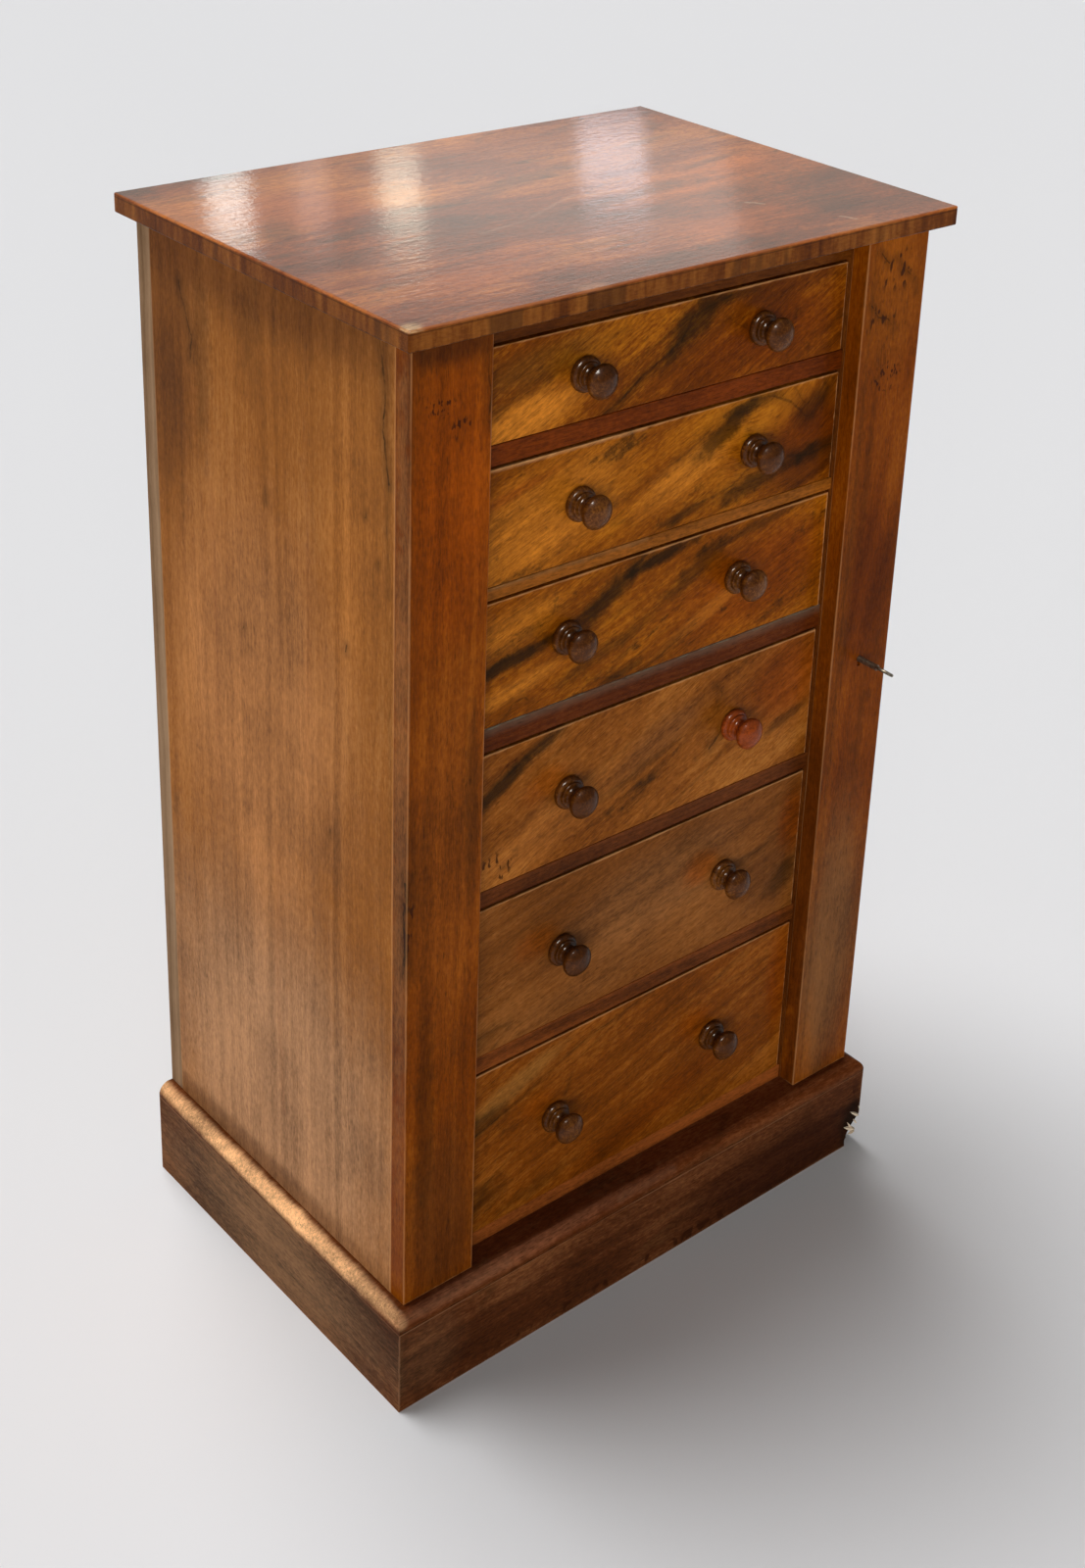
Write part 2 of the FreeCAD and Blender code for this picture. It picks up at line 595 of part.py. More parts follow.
def dovetailed_side(name, x_span, foot, top):
    """Add a drawer side: a straight board with dovetails on its front end."""
    parts = [box(name + "_board", x_span, ("front_back_y", "drawer_back_y"), (foot, top))]
    height = value_of(f"{top} - ({foot})")
    count = max(2, round(height / value_of("tail_pitch")))
    pitch = f"(({top}) - ({foot})) / {count}"
    for index in range(count):
        tail = doc.addObject("Part::Wedge", f"{name}_tail_{index + 1}")
        for side in ("Xmin", "X2min", "Ymin", "Zmin"):
            setattr(tail, side, 0)
        wide = f"({pitch}) * {TAIL_WIDTH_SHARE}"
        bind(tail, Xmax=extent(x_span), X2max=extent(x_span), Ymax="tail_length", Zmax=wide)
        bind(tail, Z2min=f"tail_length * {TAIL_SLOPE_SHARE}")
        bind(tail, Z2max=f"{wide} - tail_length * {TAIL_SLOPE_SHARE}")
        place(tail, x_span[0], "front_y + front_lap", f"{foot} + ({pitch}) * ({index + 0.5}) - {wide} / 2")
        parts.append(tail)
    return fuse(name + "_tailed", parts)


def build_drawer(number):
    """Build one drawer: dovetailed front and sides, back, bottom and two knobs."""
    label = f"drawer_{number}"
    floor = f"opening_floor_{number}"
    front_z = (f"{floor} + drawer_foot_gap", f"opening_top_{number} - drawer_top_gap")
    foot = f"{floor} + drawer_run_gap"
    side_top = f"{front_z[1]} - side_drop"
    left_x = ("drawer_left", "drawer_left + lining_thick")
    right_x = ("drawer_right - lining_thick", "drawer_right")
    left = dovetailed_side(label + "_left", left_x, foot, side_top)
    right = dovetailed_side(label + "_right", right_x, foot, side_top)
    bottom_z = (f"{foot} + bottom_lift", f"{foot} + bottom_lift + bottom_thick")
    bottom = box(
        label + "_bottom_board", (f"{left_x[1]} - bottom_tongue", f"{right_x[0]} + bottom_tongue"),
        ("front_back_y - bottom_tongue", "drawer_back_y"), bottom_z)
    back = box(
        label + "_back_board", (f"{left_x[1]} - back_housing", f"{right_x[0]} + back_housing"),
        ("drawer_back_y - lining_thick - back_housing", "drawer_back_y - back_housing"),
        (bottom_z[1], f"{side_top} - back_drop"))
    sides = [cut(side.Name + "_grooved", side, [bottom, back]) for side in (left, right)]
    shift, rise = ("knob_shift_3", "knob_rise_3") if number == 3 else ("0", "knob_rise")
    knob_z = f"{middle(front_z)} + {rise}"
    knobs = [
        knob(f"{label}_knob_{side}", f"{shift} {sign} knob_spacing / 2", knob_z)
        for side, sign in (("left", "-"), ("right", "+"))]
    front_x = ("drawer_left", "drawer_right")
    front = board(label + "_front_board", front_x, ("front_y", "front_back_y"), front_z)
    tools = [left, right, bottom] + knobs
    if number == 3:
        slip_x = ("drawer_right - slip_width", "drawer_right")
        slip = box("end_slip", slip_x, ("front_y", "front_y + front_lap"), front_z)
        tools.append(slip)
        node("drawer_3_end_slip", slip)
    node(label + "_front", cut(label + "_front_socketed", front, tools))
    node(label + "_sides", group(label + "_side_pair", sides))
    node(label + "_back", back)
    node(label + "_bottom", bottom)
    node(label + "_knobs", group(label + "_knob_pair", knobs))


def hinge_leaf(name, foot, moving):
    """Add one leaf of a butt hinge: its plate and its knuckles."""
    y_span = ("stile_back_y - leaf_thick", "stile_back_y") if moving else ("front_y", "front_y + leaf_thick")
    whole_z = (foot, f"{foot} + hinge_length")
    plate = box(name + "_plate", ("half_width - leaf_width", "half_width"), y_span, whole_z)
    parts = [plate]
    step = f"hinge_length / {KNUCKLE_COUNT}"
    axis = ("hinge_axis_x", "hinge_axis_y")
    for index in range(1 if moving else 0, KNUCKLE_COUNT, 2):
        span = (f"{foot} + {index} * {step} + knuckle_end_gap / 2",
                f"{foot} + {index + 1} * {step} - knuckle_end_gap / 2")
        parts.append(cylinder_along_z(f"{name}_knuckle_{index}", *axis, span, "knuckle_radius"))
        parts.append(box(f"{name}_tongue_{index}", ("half_width", "hinge_axis_x"), y_span, span))
    bore = cylinder_along_z(name + "_bore", *axis, whole_z, "pin_radius + pin_clearance")
    return cut(name + "_leaf", fuse(name + "_body", parts), [bore]), plate


def build_hinges():
    """Build two butt hinges and return the plates that are let into the wood."""
    feet = (
        "plinth_height + stile_end_gap + hinge_inset",
        "slab_foot - stile_end_gap - hinge_inset - hinge_length",
    )
    fixed = []
    moving = []
    pins = []
    for index, foot in enumerate(feet, start=1):
        fixed.append(hinge_leaf(f"hinge_{index}_fixed", foot, False))
        moving.append(hinge_leaf(f"hinge_{index}_moving", foot, True))
        top = f"{foot} + hinge_length"
        spans = (
            ((f"{foot} - pin_head_height", f"{top} + pin_head_height"), "pin_radius"),
            ((f"{foot} - pin_head_height", foot), "pin_head_radius"),
            ((top, f"{top} + pin_head_height"), "pin_head_radius"),
        )
        pins.append(fuse(f"hinge_{index}_pin", [
            cylinder_along_z(f"hinge_{index}_pin_{part}", "hinge_axis_x", "hinge_axis_y", span, radius)
            for part, (span, radius) in enumerate(spans)]))
    node("hinge_fixed_leaves", group("fixed_leaves", [leaf for leaf, plate in fixed]))
    node("hinge_moving_leaves", group("moving_leaves", [leaf for leaf, plate in moving]))
    node("hinge_pins", group("hinge_pin_pair", pins))
    return [plate for leaf, plate in fixed], [plate for leaf, plate in moving]


def build_lock():
    """Build the lock case, its bolt and the staple on the post."""
    case_x = ("key_axis_x - case_width / 2", "key_axis_x + case_width / 2")
    case_y = ("stile_back_y - case_depth", "stile_back_y")
    case_z = ("lock_height - case_below", "lock_height + case_above")
    case_block = box("lock_case_block", case_x, case_y, case_z)
    hollow = box("lock_case_hollow", *(
        (f"{low} + case_wall", f"{high} - case_wall") for low, high in (case_x, case_y, case_z)))
    hole_y = ("face_y - case_wall", "stile_back_y - case_depth + 2 * case_wall")
    slot_half_width = f"bit_width * {SLOT_WIDTH_SHARE} / 2"
    slot_x = (f"key_axis_x - {slot_half_width}", f"key_axis_x + {slot_half_width}")
    slot_z = (f"lock_height - bit_radius * {SLOT_LENGTH_SHARE}", "lock_height")
    round_radius = "shank_radius + key_clearance"
    hole = fuse("key_hole", (
        cylinder_along_y("key_hole_round", "key_axis_x", hole_y, "lock_height", round_radius),
        box("key_hole_slot", slot_x, hole_y, slot_z),
    ))
    staple_z = ("bolt_middle_z - staple_height / 2", "bolt_middle_z + staple_height / 2")
    slot = box(
        "staple_slot", ("staple_left - staple_play", "staple_right + staple_play"),
        ("case_inner_y", "front_y"), (f"{staple_z[0]} - staple_play", f"{staple_z[1]} + staple_play"))
    node("lock_case", cut("lock_case_open", case_block, [hollow, hole, slot]))
    bolt_x = ("bolt_tip_x", "bolt_tip_x + bolt_length")
    bolt_z = ("bolt_middle_z - bolt_height / 2", "bolt_middle_z + bolt_height / 2")
    node("lock_bolt", box("bolt_bar", bolt_x, ("bolt_front_y", "bolt_back_y"), bolt_z))
    staple_x = middle(("staple_left", "staple_right"))
    plate = box(
        "staple_plate",
        (f"{staple_x} - staple_plate_width / 2", f"{staple_x} + staple_plate_width / 2"),
        ("front_y", "front_y + leaf_thick"),
        ("bolt_middle_z - staple_plate_height / 2", "bolt_middle_z + staple_plate_height / 2"))
    tab = box("staple_tab", ("staple_left", "staple_right"), ("front_y - staple_reach", "front_y"), staple_z)
    eye = box(
        "staple_eye", ("staple_left - staple_thick", "staple_right + staple_thick"),
        ("bolt_front_y - eye_play", "bolt_back_y + eye_play"),
        (f"{bolt_z[0]} - eye_play", f"{bolt_z[1]} + eye_play"))
    node("lock_staple", cut("staple_pierced", fuse("staple_whole", (plate, tab)), [eye]))
    return case_block, hole, plate


def build_key():
    """Build the key about its own axis, then turn it and put it in its hole."""
    shank_back = "bit_front_y + bit_depth + bolt_clearance - face_y"
    bow_middle = "-(key_reach - bow_radius - bow_wire_radius)"
    shank_y = (f"{bow_middle} + bow_radius", shank_back)
    shank = cylinder_along_y("key_shank", "0", shank_y, "0", "shank_radius")
    bow = doc.addObject("Part::Torus", "key_bow")
    bow.Placement.Rotation = FreeCAD.Rotation(FreeCAD.Vector(0, 1, 0), 90)
    bind(bow, Radius1="bow_radius", Radius2="bow_wire_radius")
    place(bow, "0", bow_middle, "0")
    bit_y = ("bit_front_y - face_y", shank_back)
    bit = box("key_bit", ("-bit_width / 2", "bit_width / 2"), bit_y, ("-bit_radius", "0"))
    key = fuse("key_whole", (shank, bow, bit))
    key.Placement.Rotation = FreeCAD.Rotation(FreeCAD.Vector(0, -1, 0), value_of("key_rest_angle"))
    bind(key, Placement__Rotation__Angle="key_rest_angle")
    place(key, "key_axis_x", "face_y", "lock_height")
    node("key", key)


def check_and_write():
    """Check every object, then write each node to its file."""
    doc.recompute()
    for item in doc.Objects:
        if "Invalid" in item.State or "Error" in item.State:
            raise RuntimeError(f"{item.Name} is {item.State}")
    for label, piece in nodes.items():
        if piece.Shape.isNull() or not piece.Shape.isValid():
            raise RuntimeError(f"{label} has no valid shape")
    os.makedirs("parts", exist_ok=True)
    for label, piece in nodes.items():
        piece.Shape.exportStep(f"parts/{label}.step")


sizes = fill_sheet("Sizes", SIZE_ROWS, "")
fill_sheet("Places", PLACE_ROWS, "=")
build_plinth()
right_side = build_shell()
right_post, tenon_bars = build_dividers()
for drawer in DRAWERS:
    build_drawer(drawer)
fixed_plates, moving_plates = build_hinges()
lock_block, lock_hole, staple_base = build_lock()
build_key()
node("side_right", cut("right_panel_recessed", right_side, fixed_plates))
node("right_post", cut("right_post_recessed", right_post, tenon_bars + [staple_base]))
stile_board = board(
    "stile_board", ("opening_right", "half_width"), ("face_y", "stile_back_y"),
    ("plinth_height + stile_end_gap", "slab_foot - stile_end_gap"))
node("locking_stile", cut("stile_recessed", stile_board, moving_plates + [lock_block, lock_hole]))
check_and_write()
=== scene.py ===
"""Looks of the wellington chest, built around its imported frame.

Lengths are metres in the chest's own frame: X to the right, Y to the back, Z up.
Marks on a board's face are placed in millimetres in that face, and tilted in degrees.
"""
import math
import random
import bmesh
import bpy
from mathutils import Matrix, Vector


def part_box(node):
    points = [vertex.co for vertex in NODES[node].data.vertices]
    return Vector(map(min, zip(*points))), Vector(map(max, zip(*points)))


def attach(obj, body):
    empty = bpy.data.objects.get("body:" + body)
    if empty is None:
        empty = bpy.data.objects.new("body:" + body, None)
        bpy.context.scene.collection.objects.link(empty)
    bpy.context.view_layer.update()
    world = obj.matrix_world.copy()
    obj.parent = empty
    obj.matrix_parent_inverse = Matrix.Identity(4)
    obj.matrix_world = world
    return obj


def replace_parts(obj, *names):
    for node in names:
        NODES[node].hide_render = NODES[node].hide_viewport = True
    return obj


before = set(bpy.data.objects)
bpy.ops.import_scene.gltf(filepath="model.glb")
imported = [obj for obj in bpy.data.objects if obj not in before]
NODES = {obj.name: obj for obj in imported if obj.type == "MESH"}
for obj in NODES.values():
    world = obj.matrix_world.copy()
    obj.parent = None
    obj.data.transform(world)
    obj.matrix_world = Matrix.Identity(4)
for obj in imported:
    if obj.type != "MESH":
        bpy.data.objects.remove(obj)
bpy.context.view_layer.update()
DRAWERS = range(1, 7)
MM = 0.001
TOP_HEIGHT = 1.06

# Each face that takes marks: where its two coordinates lie in the chest, in millimetres, how a
# mark's length, height and depth follow the chest's axes, and the axis it is tilted about
FACES = {
    "fronts": (lambda u, v: (u, -167.5, v), "ldh", (0, -1, 0)),
    "face": (lambda u, v: (u, -188.0, v), "ldh", (0, -1, 0)),
    "plinth": (lambda u, v: (u, -203.5, v), "ldh", (0, -1, 0)),
    "left": (lambda u, v: (-292.0, u, v), "dlh", (1, 0, 0)),
    "plinth_left": (lambda u, v: (-307.5, u, v), "dlh", (1, 0, 0)),
    "top": (lambda u, v: (u, v, 1060.0), "lhd", (0, 0, 1)),
}
MARK_DEPTH = 12
MARK_KINDS = ("patches", "blotches", "strokes", "pits", "bulges")

# Each noise: its steps per metre along X, Y and Z, its detail and its roughness
NOISES = {
    "streak": ((5.0, 110.0, 110.0), 3.0, 0.60),
    "fibre": ((60.0, 700.0, 700.0), 2.0, 0.60),
    "cloud": ((8.0, 8.0, 8.0), 3.0, 0.55),
    "grit": ((150.0, 360.0, 360.0), 3.0, 0.65),
    "stain": ((6.0, 40.0, 40.0), 4.0, 0.60),
    "mottle": ((70.0, 70.0, 70.0), 4.0, 0.70),
    "pore": ((90.0, 1300.0, 1300.0), 1.0, 0.50),
    "crinkle": ((90.0, 220.0, 90.0), 4.0, 0.65),
    "edge_grain": ((120.0, 120.0, 18.0), 3.0, 0.60),
    "edge_tone": ((22.0, 22.0, 4.0), 2.0, 0.50),
}
# Each wobble of a place: its steps per metre along X, Y and Z, and its detail
WOBBLES = {
    "slow": ((2.2, 7.0, 7.0), 2.0),
    "quick": ((9.0, 30.0, 30.0), 2.0),
    "outline": ((55.0, 55.0, 55.0), 3.0),
}
# How far the quick wobble sways the grain, against the slow one
QUICK_SHARE = 0.35
# How much of the grain's sway a mark takes, and how far its outline wobbles besides
MARK_SWAY = 0.3
OUTLINE_WOBBLE = 0.005

# Where a noise or a mark's strength starts to count, and where it counts in full
RANGES = {
    "line": (0.60, 0.72),
    "line_gap": (0.3, 0.6),
    "ink": (0.42, 0.62),
    "pore": (0.58, 0.70),
    "patch": (0.0, 0.7),
    "blotch": (0.10, 0.75),
    "stroke_fibre": (0.25, 0.55),
    "stroke_mottle": (0.30, 0.55),
    "hole": (0.56, 0.64),
    "pitted": (0.05, 0.45),
}
# The tones of the dark, middle and light colour, and how far the tone shades a patch
TONES = (0.24, 0.5, 0.76)
SHADES = (0.40, 1.60)
# How slowly rings change along the grain, and what keeps their dark lines off their bands
RING_STRETCH = 0.08
LINE_OFFSET = 37.0
# The level of the broad figure whose outline is inked, and the reach of the ink to each side
INK_LEVEL = 0.54
INK_REACH = 0.016
# A stroke's halo, in its widths and against its strength, and its full core, in its widths
HALO_WIDTHS = 3.0
HALO_SHARE = 0.40
CORE_WIDTHS = 0.1
# How much the stain and the mottle fray a mark, and a patch's share of that
FRAY_STAIN = 1.1
FRAY_MOTTLE = 0.9
PATCH_FRAY = 0.3
# Pits are longer upright than across, and this strong
PIT_STRETCH = 0.45
PIT_AMOUNT = 0.85
# Shares of the noises in the roughness, the relief, the polish and the worn edges
ROUGH_BASE = -0.08
ROUGH_CLOUD = 0.16
ROUGH_PORE = 0.12
RELIEF_GRIT = 0.4
RELIEF_PORE = -0.8
POLISH_STREAK = 0.4
WEAR_RAGGED = 0.004


def rgb(red, green, blue):
    """Return a screen colour of 0 to 255 as the linear colour that nodes take."""
    def linear(level):
        level /= 255
        return level / 12.92 if level <= 0.04045 else ((level + 0.055) / 1.055) ** 2.4
    return (linear(red), linear(green), linear(blue), 1.0)


def spot_on(face, u, v, long, high, tilt):
    """Return the centre, radii and turn of a flat ellipsoid on a face."""
    place, order, axis = FACES[face]
    sizes = {"l": long, "h": high, "d": MARK_DEPTH}
    radii = [sizes[key] * MM for key in order]
    return Vector(place(u, v)) * MM, radii, [part * tilt for part in axis]


def marks(face, patches=(), blotches=(), strokes=(), pits=(), bulges=()):
    """Return the marks of one face, ready for wood()."""
    place = FACES[face][0]
    return {
        "patches": [(spot_on(face, *where), tint, amount) for *where, tint, amount in patches],
        "blotches": [(spot_on(face, *where), amount) for *where, amount in blotches],
        "strokes": [
            ([Vector(place(u, v)) * MM for u, v in points], width * MM, amount, tint)
            for width, amount, tint, points in strokes],
        "pits": [(spot_on(face, *where), scale) for *where, scale in pits],
        "bulges": [(spot_on(face, *where), lift) for *where, lift in bulges],
    }


def joined(*groups):
    """Return the marks of several faces of one board."""
    return {kind: [mark for group in groups for mark in group[kind]] for kind in groups[0]}


class Graph:
    """A material's node tree, with a short method for each kind of step."""

    def __init__(self, name):
        self.material = bpy.data.materials.new(name)
        self.material.use_nodes = True
        self.tree = self.material.node_tree
        self.tree.nodes.clear()
        output = self.tree.nodes.new("ShaderNodeOutputMaterial")
        self.shader = self.tree.nodes.new("ShaderNodeBsdfPrincipled")
        self.tree.links.new(self.shader.outputs[0], output.inputs["Surface"])
        self.place = self.add("ShaderNodeTexCoord").outputs["Object"]
        self.axes = self.add("ShaderNodeSeparateXYZ", {0: self.place}).outputs

    def add(self, kind, sockets=None, **settings):
        node = self.tree.nodes.new(kind)
        for name, value in settings.items():
            setattr(node, name, value)
        for name, value in (sockets or {}).items():
            self.feed(node.inputs[name], value)
        return node

    def feed(self, socket, value):
        if isinstance(value, bpy.types.NodeSocket):
            self.tree.links.new(value, socket)
        else:
            socket.default_value = value

    def math(self, operation, first, second=0.0):
        return self.add("ShaderNodeMath", {0: first, 1: second}, operation=operation).outputs[0]

    def plus(self, first, second):
        return self.math("ADD", first, second)

    def times(self, first, second):
        return self.math("MULTIPLY", first, second)

    def fold(self, operation, values):
        result = values[0]
        for value in values[1:]:
            result = self.math(operation, result, value)
        return result

    def vector(self, operation, first, second=(0.0, 0.0, 0.0)):
        node = self.add("ShaderNodeVectorMath", {0: first, 1: second}, operation=operation)
        return node.outputs["Value" if operation in ("LENGTH", "DOT_PRODUCT") else "Vector"]

    def scaled(self, vector, factors):
        return self.vector("MULTIPLY", vector, factors)

    def mapping(self, vector, location=(0, 0, 0), turn=(0, 0, 0), scale=(1, 1, 1), kind="POINT"):
        angles = [math.radians(angle) for angle in turn]
        sockets = {"Vector": vector, "Location": location, "Rotation": angles, "Scale": scale}
        return self.add("ShaderNodeMapping", sockets, vector_type=kind).outputs[0]

    def noise(self, vector, detail=2.0, rough=0.5, output="Fac"):
        sockets = {"Vector": vector, "Scale": 1.0, "Detail": detail, "Roughness": rough}
        return self.add("ShaderNodeTexNoise", sockets).outputs[output]

    def noise_of(self, value, detail=2.0, rough=0.5):
        sockets = {"W": value, "Scale": 1.0, "Detail": detail, "Roughness": rough}
        return self.add("ShaderNodeTexNoise", sockets, noise_dimensions="1D").outputs["Fac"]

    def texture(self, key, vector):
        """Return one of the NOISES over a vector."""
        scale, detail, rough = NOISES[key]
        return self.noise(self.scaled(vector, scale), detail, rough)

    def jitter(self, key, vector, size):
        """Return one of the WOBBLES over a vector, at most about half the size long."""
        scale, detail = WOBBLES[key]
        noise = self.noise(self.scaled(vector, scale), detail, 0.5, "Color")
        return self.scaled(self.vector("SUBTRACT", noise, (0.5,) * 3), (size,) * 3)

    def smooth(self, value, low, high, bottom=0.0, top=1.0):
        """Go smoothly from bottom to top as the value goes from low to high."""
        if low > high:
            low, high, bottom, top = high, low, top, bottom
        sockets = {
            "Value": value, "From Min": low, "From Max": high, "To Min": bottom, "To Max": top}
        return self.add("ShaderNodeMapRange", sockets, interpolation_type="SMOOTHSTEP").outputs[0]

    def mix(self, factor, first, second, blend="MIX"):
        node = self.add("ShaderNodeMix", data_type="RGBA", blend_type=blend)
        for index, value in ((0, factor), (6, first), (7, second)):
            self.feed(node.inputs[index], value)
        return node.outputs[2]

    def ramp(self, value, stops):
        node = self.add("ShaderNodeValToRGB", {0: value})
        elements = node.color_ramp.elements
        while len(elements) < len(stops):
            elements.new(0.5)
        for element, (position, colour) in zip(elements, stops):
            element.position = position
            element.color = colour
        return node.outputs[0]

    def spot(self, vector, centre, radii, turn):
        """Return 1 at the centre of an ellipsoid, falling to 0 at its surface."""
        inside = self.mapping(vector, centre, turn, radii, kind="TEXTURE")
        fade = self.add("ShaderNodeTexGradient", {0: inside}, gradient_type="SPHERICAL")
        return fade.outputs["Fac"]

    def distance(self, vector, points):
        """Return the distance to a line through points."""
        found = []
        for start, end in zip(points, points[1:]):
            run = end - start
            offset = self.vector("SUBTRACT", vector, start)
            share = self.vector("DOT_PRODUCT", offset, run / run.length_squared)
            share = self.add("ShaderNodeClamp", {0: share}).outputs[0]
            sockets = {0: run, "Scale": share}
            along = self.add("ShaderNodeVectorMath", sockets, operation="SCALE").outputs[0]
            found.append(self.vector("LENGTH", self.vector("SUBTRACT", offset, along)))
        return self.fold("MINIMUM", found)

    def edge_distance(self, low, high):
        """Return how far a point of a box's surface lies from the nearest edge."""
        gaps = []
        for axis in range(3):
            under = self.math("SUBTRACT", self.axes[axis], low[axis])
            over = self.math("SUBTRACT", high[axis], self.axes[axis])
            gaps.append(self.math("ABSOLUTE", self.math("MINIMUM", under, over)))
        least = self.math("MINIMUM", gaps[0], gaps[1])
        most = self.math("MAXIMUM", gaps[0], gaps[1])
        return self.math("MAXIMUM", least, self.math("MINIMUM", most, gaps[2]))

    def bump(self, height, depth):
        sockets = {"Height": height, "Strength": 1.0, "Distance": depth}
        return self.add("ShaderNodeBump", sockets).outputs[0]

    def finish(self, colour, roughness, height=None, depth=0.0002, **constants):
        """Feed the shader; constants go to its own sockets by name, with spaces as underscores."""
        self.feed(self.shader.inputs["Base Color"], colour)
        self.feed(self.shader.inputs["Roughness"], roughness)
        for name, value in constants.items():
            self.shader.inputs[name.replace("_", " ")].default_value = value
        if height is not None:
            self.feed(self.shader.inputs["Normal"], self.bump(height, depth))
        return self.material


# The plain look of walnut, which each board changes where it differs
WALNUT = {
    "turn": (0, 0, 0),
    "seed": (0, 0, 0),
    "dark": rgb(70, 27, 0),
    "middle": rgb(132, 69, 4),
    "light": rgb(190, 115, 20),
    "smoke": rgb(30, 18, 2),
    "sway": 0.018,
    "pith": (0.05, 0.10),
    "ring": 0.011,
    "zone_scale": (2.5, 13.0, 13.0),
    "weights": {
        "zone": 0.50, "band": 0.22, "streak": 0.10, "fibre": 0.30, "cloud": 0.44, "grit": 0.42},
    "smoke_range": (0.60, 0.80),
    "smoke_amount": 0.45,
    "ink": 0.35,
    "line_amount": 0.12,
    "pore_amount": 0.40,
    # Pale edges: wear, and on the drawer fronts' upper edges partly a painted highlight
    "wear": rgb(214, 156, 100),
    "wear_width": 0.0019,
    "wear_amount": 0.55,
    "rough": 0.42,
    "specular": 0.03,
    "coat": 0.03,
    "coat_rough": 0.18,
    "coat_relief": 0.00006,
    "gloss_from": None,
    "relief": 0.00008,
    "box": None,
    **{kind: () for kind in MARK_KINDS},
}


def grain_field(g, look):
    """Return the coordinates along the grain, and the sway that placed marks share with it."""
    local = g.mapping(g.place, look["seed"], look["turn"])
    slow = g.jitter("slow", local, look["sway"])
    sway = g.vector("ADD", slow, g.jitter("quick", local, look["sway"] * QUICK_SHARE))
    grain = g.vector("ADD", local, sway)
    for where, lift in look["bulges"]:
        rise = g.times(g.spot(g.place, *where), lift * MM)
        grain = g.vector("ADD", grain, g.add("ShaderNodeCombineXYZ", {"Z": rise}).outputs[0])
    return grain, sway


def grain_parts(g, look, grain):
    """Return the noises that make the tone, from broad figure to single fibres."""
    depth, height = look["pith"]
    log = g.mapping(grain, (0, depth, height), scale=(RING_STRETCH, 1, 1))
    rings = g.times(g.vector("LENGTH", log), 1 / look["ring"])
    return {
        "zone": g.noise(g.scaled(grain, look["zone_scale"])),
        "band": g.noise_of(rings, 2.0, 0.55),
        "streak": g.texture("streak", grain),
        "fibre": g.texture("fibre", grain),
        "cloud": g.texture("cloud", g.place),
        "grit": g.texture("grit", grain),
        "rings": rings,
    }


def draw_figure(g, look, parts, tone, stain):
    """Return the board's colour from its tone, with dark lines, stains and inked outlines."""
    colours = (look["dark"], look["middle"], look["light"])
    colour = g.ramp(tone, tuple(zip(TONES, colours)))
    lines = g.noise_of(g.plus(parts["rings"], LINE_OFFSET), 1.0)
    lines = g.smooth(lines, *RANGES["line"], 0.0, look["line_amount"])
    lines = g.times(lines, g.smooth(parts["streak"], *RANGES["line_gap"]))
    colour = g.mix(lines, colour, look["smoke"])
    smoke = g.smooth(stain, *look["smoke_range"], 0.0, look["smoke_amount"])
    colour = g.mix(smoke, colour, look["smoke"])
    off_level = g.math("ABSOLUTE", g.plus(parts["zone"], -INK_LEVEL))
    outline = g.smooth(off_level, INK_REACH, 0.0, 0.0, look["ink"])
    outline = g.times(outline, g.smooth(parts["cloud"], *RANGES["ink"]))
    return g.mix(outline, colour, look["smoke"])


def add_strokes(g, look, colour, marks_at, mottle, fibre):
    """Draw the board's own lines: a soft halo each, and a core that the grain breaks up."""
    kept = g.smooth(fibre, *RANGES["stroke_fibre"], 0.45, 1.0)
    broken = g.times(kept, g.smooth(mottle, *RANGES["stroke_mottle"], 0.40, 1.0))
    for points, width, amount, tint in look["strokes"]:
        near = g.distance(marks_at, points)
        halo = g.smooth(near, width * HALO_WIDTHS, 0.0, 0.0, amount * HALO_SHARE)
        core = g.times(g.smooth(near, width / 2, width * CORE_WIDTHS, 0.0, amount), broken)
        colour = g.mix(g.math("MAXIMUM", halo, core), colour, tint or look["smoke"])
    return colour


def add_pits(g, look, colour):
    """Scatter worm holes and chips over the board's pitted places."""
    for where, scale in look["pits"]:
        holes = g.noise(g.scaled(g.place, (scale, scale, scale * PIT_STRETCH)), 1.0)
        pitted = g.smooth(g.spot(g.place, *where), *RANGES["pitted"], 0.0, PIT_AMOUNT)
        colour = g.mix(g.times(g.smooth(holes, *RANGES["hole"]), pitted), colour, PIT)
    return colour


def add_marks(g, look, colour, tone, marks_at, stain, fibre):
    """Lay the board's own patches, smoky places, lines and pits over its colour."""
    shade = g.smooth(tone, TONES[0], TONES[-1], *SHADES)
    mottle = g.texture("mottle", g.place)
    frayed = g.plus(
        g.times(g.plus(stain, -0.5), FRAY_STAIN), g.times(g.plus(mottle, -0.5), FRAY_MOTTLE))
    for where, tint, amount in look["patches"]:
        mask = g.plus(g.spot(marks_at, *where), g.times(frayed, PATCH_FRAY))
        grained = g.mix(1.0, tint, shade, "MULTIPLY")
        colour = g.mix(g.times(g.smooth(mask, *RANGES["patch"]), amount), colour, grained)
    for where, amount in look["blotches"]:
        mask = g.smooth(g.plus(g.spot(marks_at, *where), frayed), *RANGES["blotch"])
        colour = g.mix(g.times(mask, amount), colour, look["smoke"])
    colour = add_strokes(g, look, colour, marks_at, mottle, fibre)
    return add_pits(g, look, colour)


def wear_edges(g, look, colour, streak):
    """Make the edges of the board's box pale along a ragged line: wear, on the drawer fronts
    partly a painted highlight.
    """
    edge = g.edge_distance(*look["box"])
    edge = g.plus(edge, g.times(g.plus(streak, -0.5), WEAR_RAGGED))
    worn = g.smooth(edge, look["wear_width"], 0.0, 0.0, look["wear_amount"])
    return g.mix(worn, colour, look["wear"])


